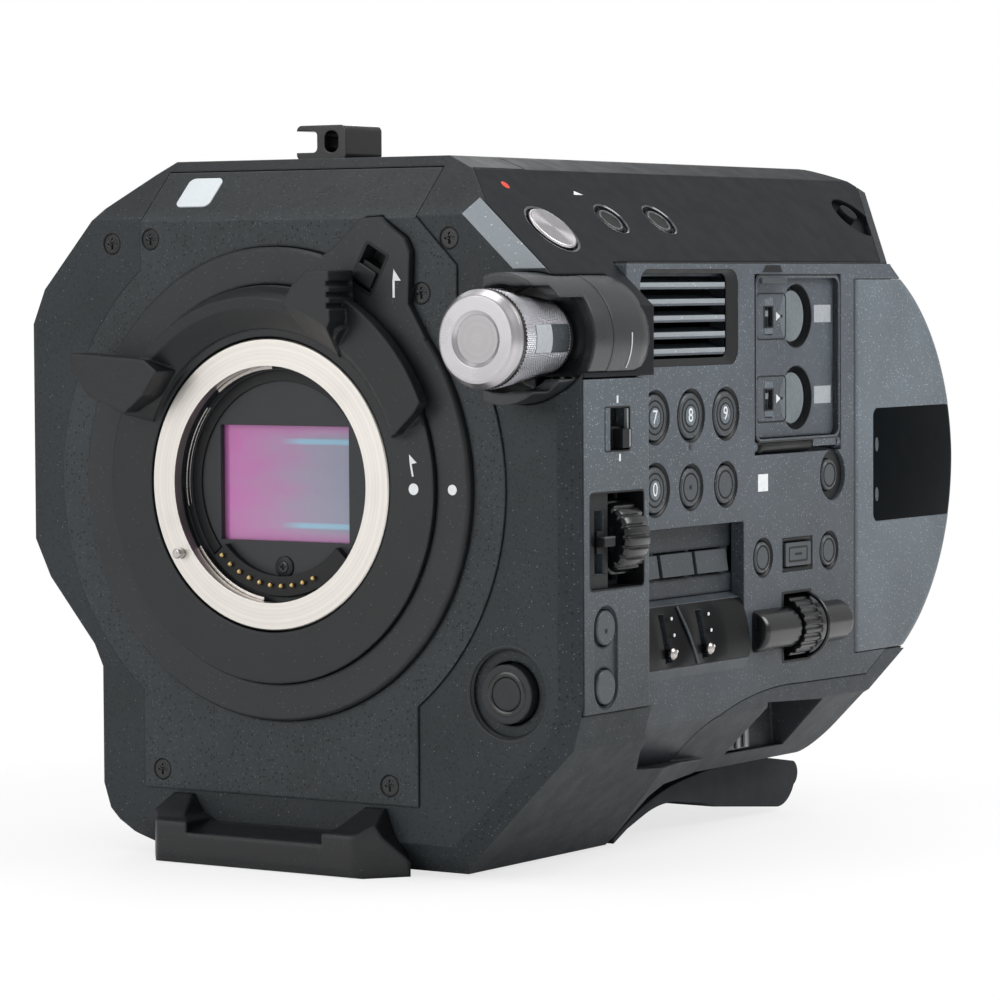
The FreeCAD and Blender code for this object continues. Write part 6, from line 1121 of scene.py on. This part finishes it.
seal("door_seal_top", DOOR_HALF_Z + 0.04, DOOR_HALF_Z + 0.19, rear_edge(DOOR_HALF_Z))
seal("door_seal_low", -DOOR_HALF_Z - 0.19, -DOOR_HALF_Z - 0.04, rear_edge(-DOOR_HALF_Z))
Form().box(PANEL, 32.0, 42.46, 136.5, 42.82, -6.0, -0.35).made("shoulder_seal", GLOSS)
pane().made("card_window", SMOKE, "media_door", angle=50.0)
CORNER_R = 1.7
for name, v, turn in (("top", 11.95, -1), ("low", -11.95, 1)):
    corner = [(130.3, v)]
    for k in range(7):
        a, b = polar(CORNER_R, 90.0 * k / 6)
        corner.append((132.0 - b, v + turn * (CORNER_R - a)))
    Form().prism(PANEL, corner, -0.5, 0.0).made("window_corner_" + name, DOOR, "media_door")
STUD = [(0.75 * math.cos(0.3 * k), 1.5 * math.sin(0.3 * k)) for k in range(21)]
for name, z in (("top", 4.3), ("low", -6.3)):
    Form().prism(on_side(132.0, z, PANEL_X - 0.06), STUD, -0.1, 0.03).made(
        "window_stud_" + name, KEY, "media_door")


# Studio

def area(name, place, size, power, target=(0.0, 0.05, 0.0)):
    """A round lamp that looks at the camera body."""
    data = bpy.data.lights.new(name, "AREA")
    data.shape = "DISK"
    data.size = size
    data.energy = power
    lamp = linked(name, data)
    lamp.location = place
    lamp.rotation_euler = (Vector(target) - Vector(place)).to_track_quat("-Z", "Y").to_euler()


def studio():
    """A white world that is dimmer as a light than to the eye, and four soft lamps."""
    world = bpy.data.worlds.new("studio")
    bpy.context.scene.world = world
    nodes = Nodes(world)
    path = nodes.node("ShaderNodeLightPath").outputs
    seen = nodes.maths("MAXIMUM", path["Is Camera Ray"], path["Is Transmission Ray"])
    strength = nodes.remap(seen, 0.0, 1.0, 0.55, 1.0)
    sky = nodes.node("ShaderNodeBackground", {"Color": (1, 1, 1, 1), "Strength": strength})
    nodes.node("ShaderNodeOutputWorld", {"Surface": sky.outputs[0]})
    area("key", (0.62, 0.30, 0.62), 0.6, 5.4)
    area("front", (-0.5, -1.1, 0.5), 0.9, 6.0)
    area("top", (-0.2, -0.1, 1.2), 0.8, 4.6)
    area("rear", (-0.8, 0.9, 0.6), 0.8, 5.0)


def floor(reach=3000):
    """A pale floor that keeps the shadow and fades to white away from the object."""
    form = Form()
    form.bm.faces.new(form.row(Matrix(), [(-reach, -reach, FLOOR_Z), (reach, -reach, FLOOR_Z),
                                          (reach, reach, FLOOR_Z), (-reach, reach, FLOOR_Z)]))
    mesh = form.to_mesh("floor")
    thing = linked("floor", mesh)
    look = Look("pale_floor")
    patch = look.remap(look.noise(6.0, 3.0), 0.3, 0.7)
    look.fill(look.skin, {"Base Color": look.mix(patch, (0.83, 0.83, 0.83, 1), (0.86, 0.86, 0.86, 1)),
                          "Roughness": 0.8, "Specular IOR Level": 0.2})
    away = look.vector("LENGTH", look.coords).outputs["Value"]
    share = look.remap(away, 0.10, 0.34, 0.72, 1.0)
    seen = look.node("ShaderNodeLightPath").outputs["Is Camera Ray"]
    glow = look.node("ShaderNodeEmission").outputs[0]
    both = look.node("ShaderNodeMixShader", {0: look.maths("MULTIPLY", seen, share),
                                             1: look.skin.outputs["BSDF"], 2: glow})
    look.fill(look.output, {"Surface": both.outputs[0]})
    mesh.materials.append(look.material)


# The photograph's viewing angle in degrees, its focal length in picture widths, and how far the eye
# stands right of, above and before the lens flange, in metres
YAW, PITCH, ROLL = 33.4438, -2.9741, -0.2846
FOCAL = 4.19294
EYE = (0.044926, -0.002973, 0.81373)


def camera():
    yaw, pitch, roll = (math.radians(a) for a in (YAW, PITCH, ROLL))
    forward = Vector((-math.sin(yaw) * math.cos(pitch), math.cos(yaw) * math.cos(pitch), math.sin(pitch)))
    right = Vector((math.cos(yaw), math.sin(yaw), 0.0))
    up = right.cross(forward)
    side = right * math.cos(roll) + up * math.sin(roll)
    head = up * math.cos(roll) - right * math.sin(roll)
    data = bpy.data.cameras.new("camera")
    data.sensor_width = 36.0
    data.lens = FOCAL * data.sensor_width
    data.clip_start = 0.05
    data.clip_end = 20.0
    eye = linked("camera", data)
    m = Matrix((side, head, -forward)).transposed().to_4x4()
    m.translation = side * EYE[0] + head * EYE[1] - forward * EYE[2]
    eye.matrix_world = m
    bpy.context.scene.camera = eye


studio()
floor()
camera()
bpy.context.scene.view_settings.view_transform = "Standard"
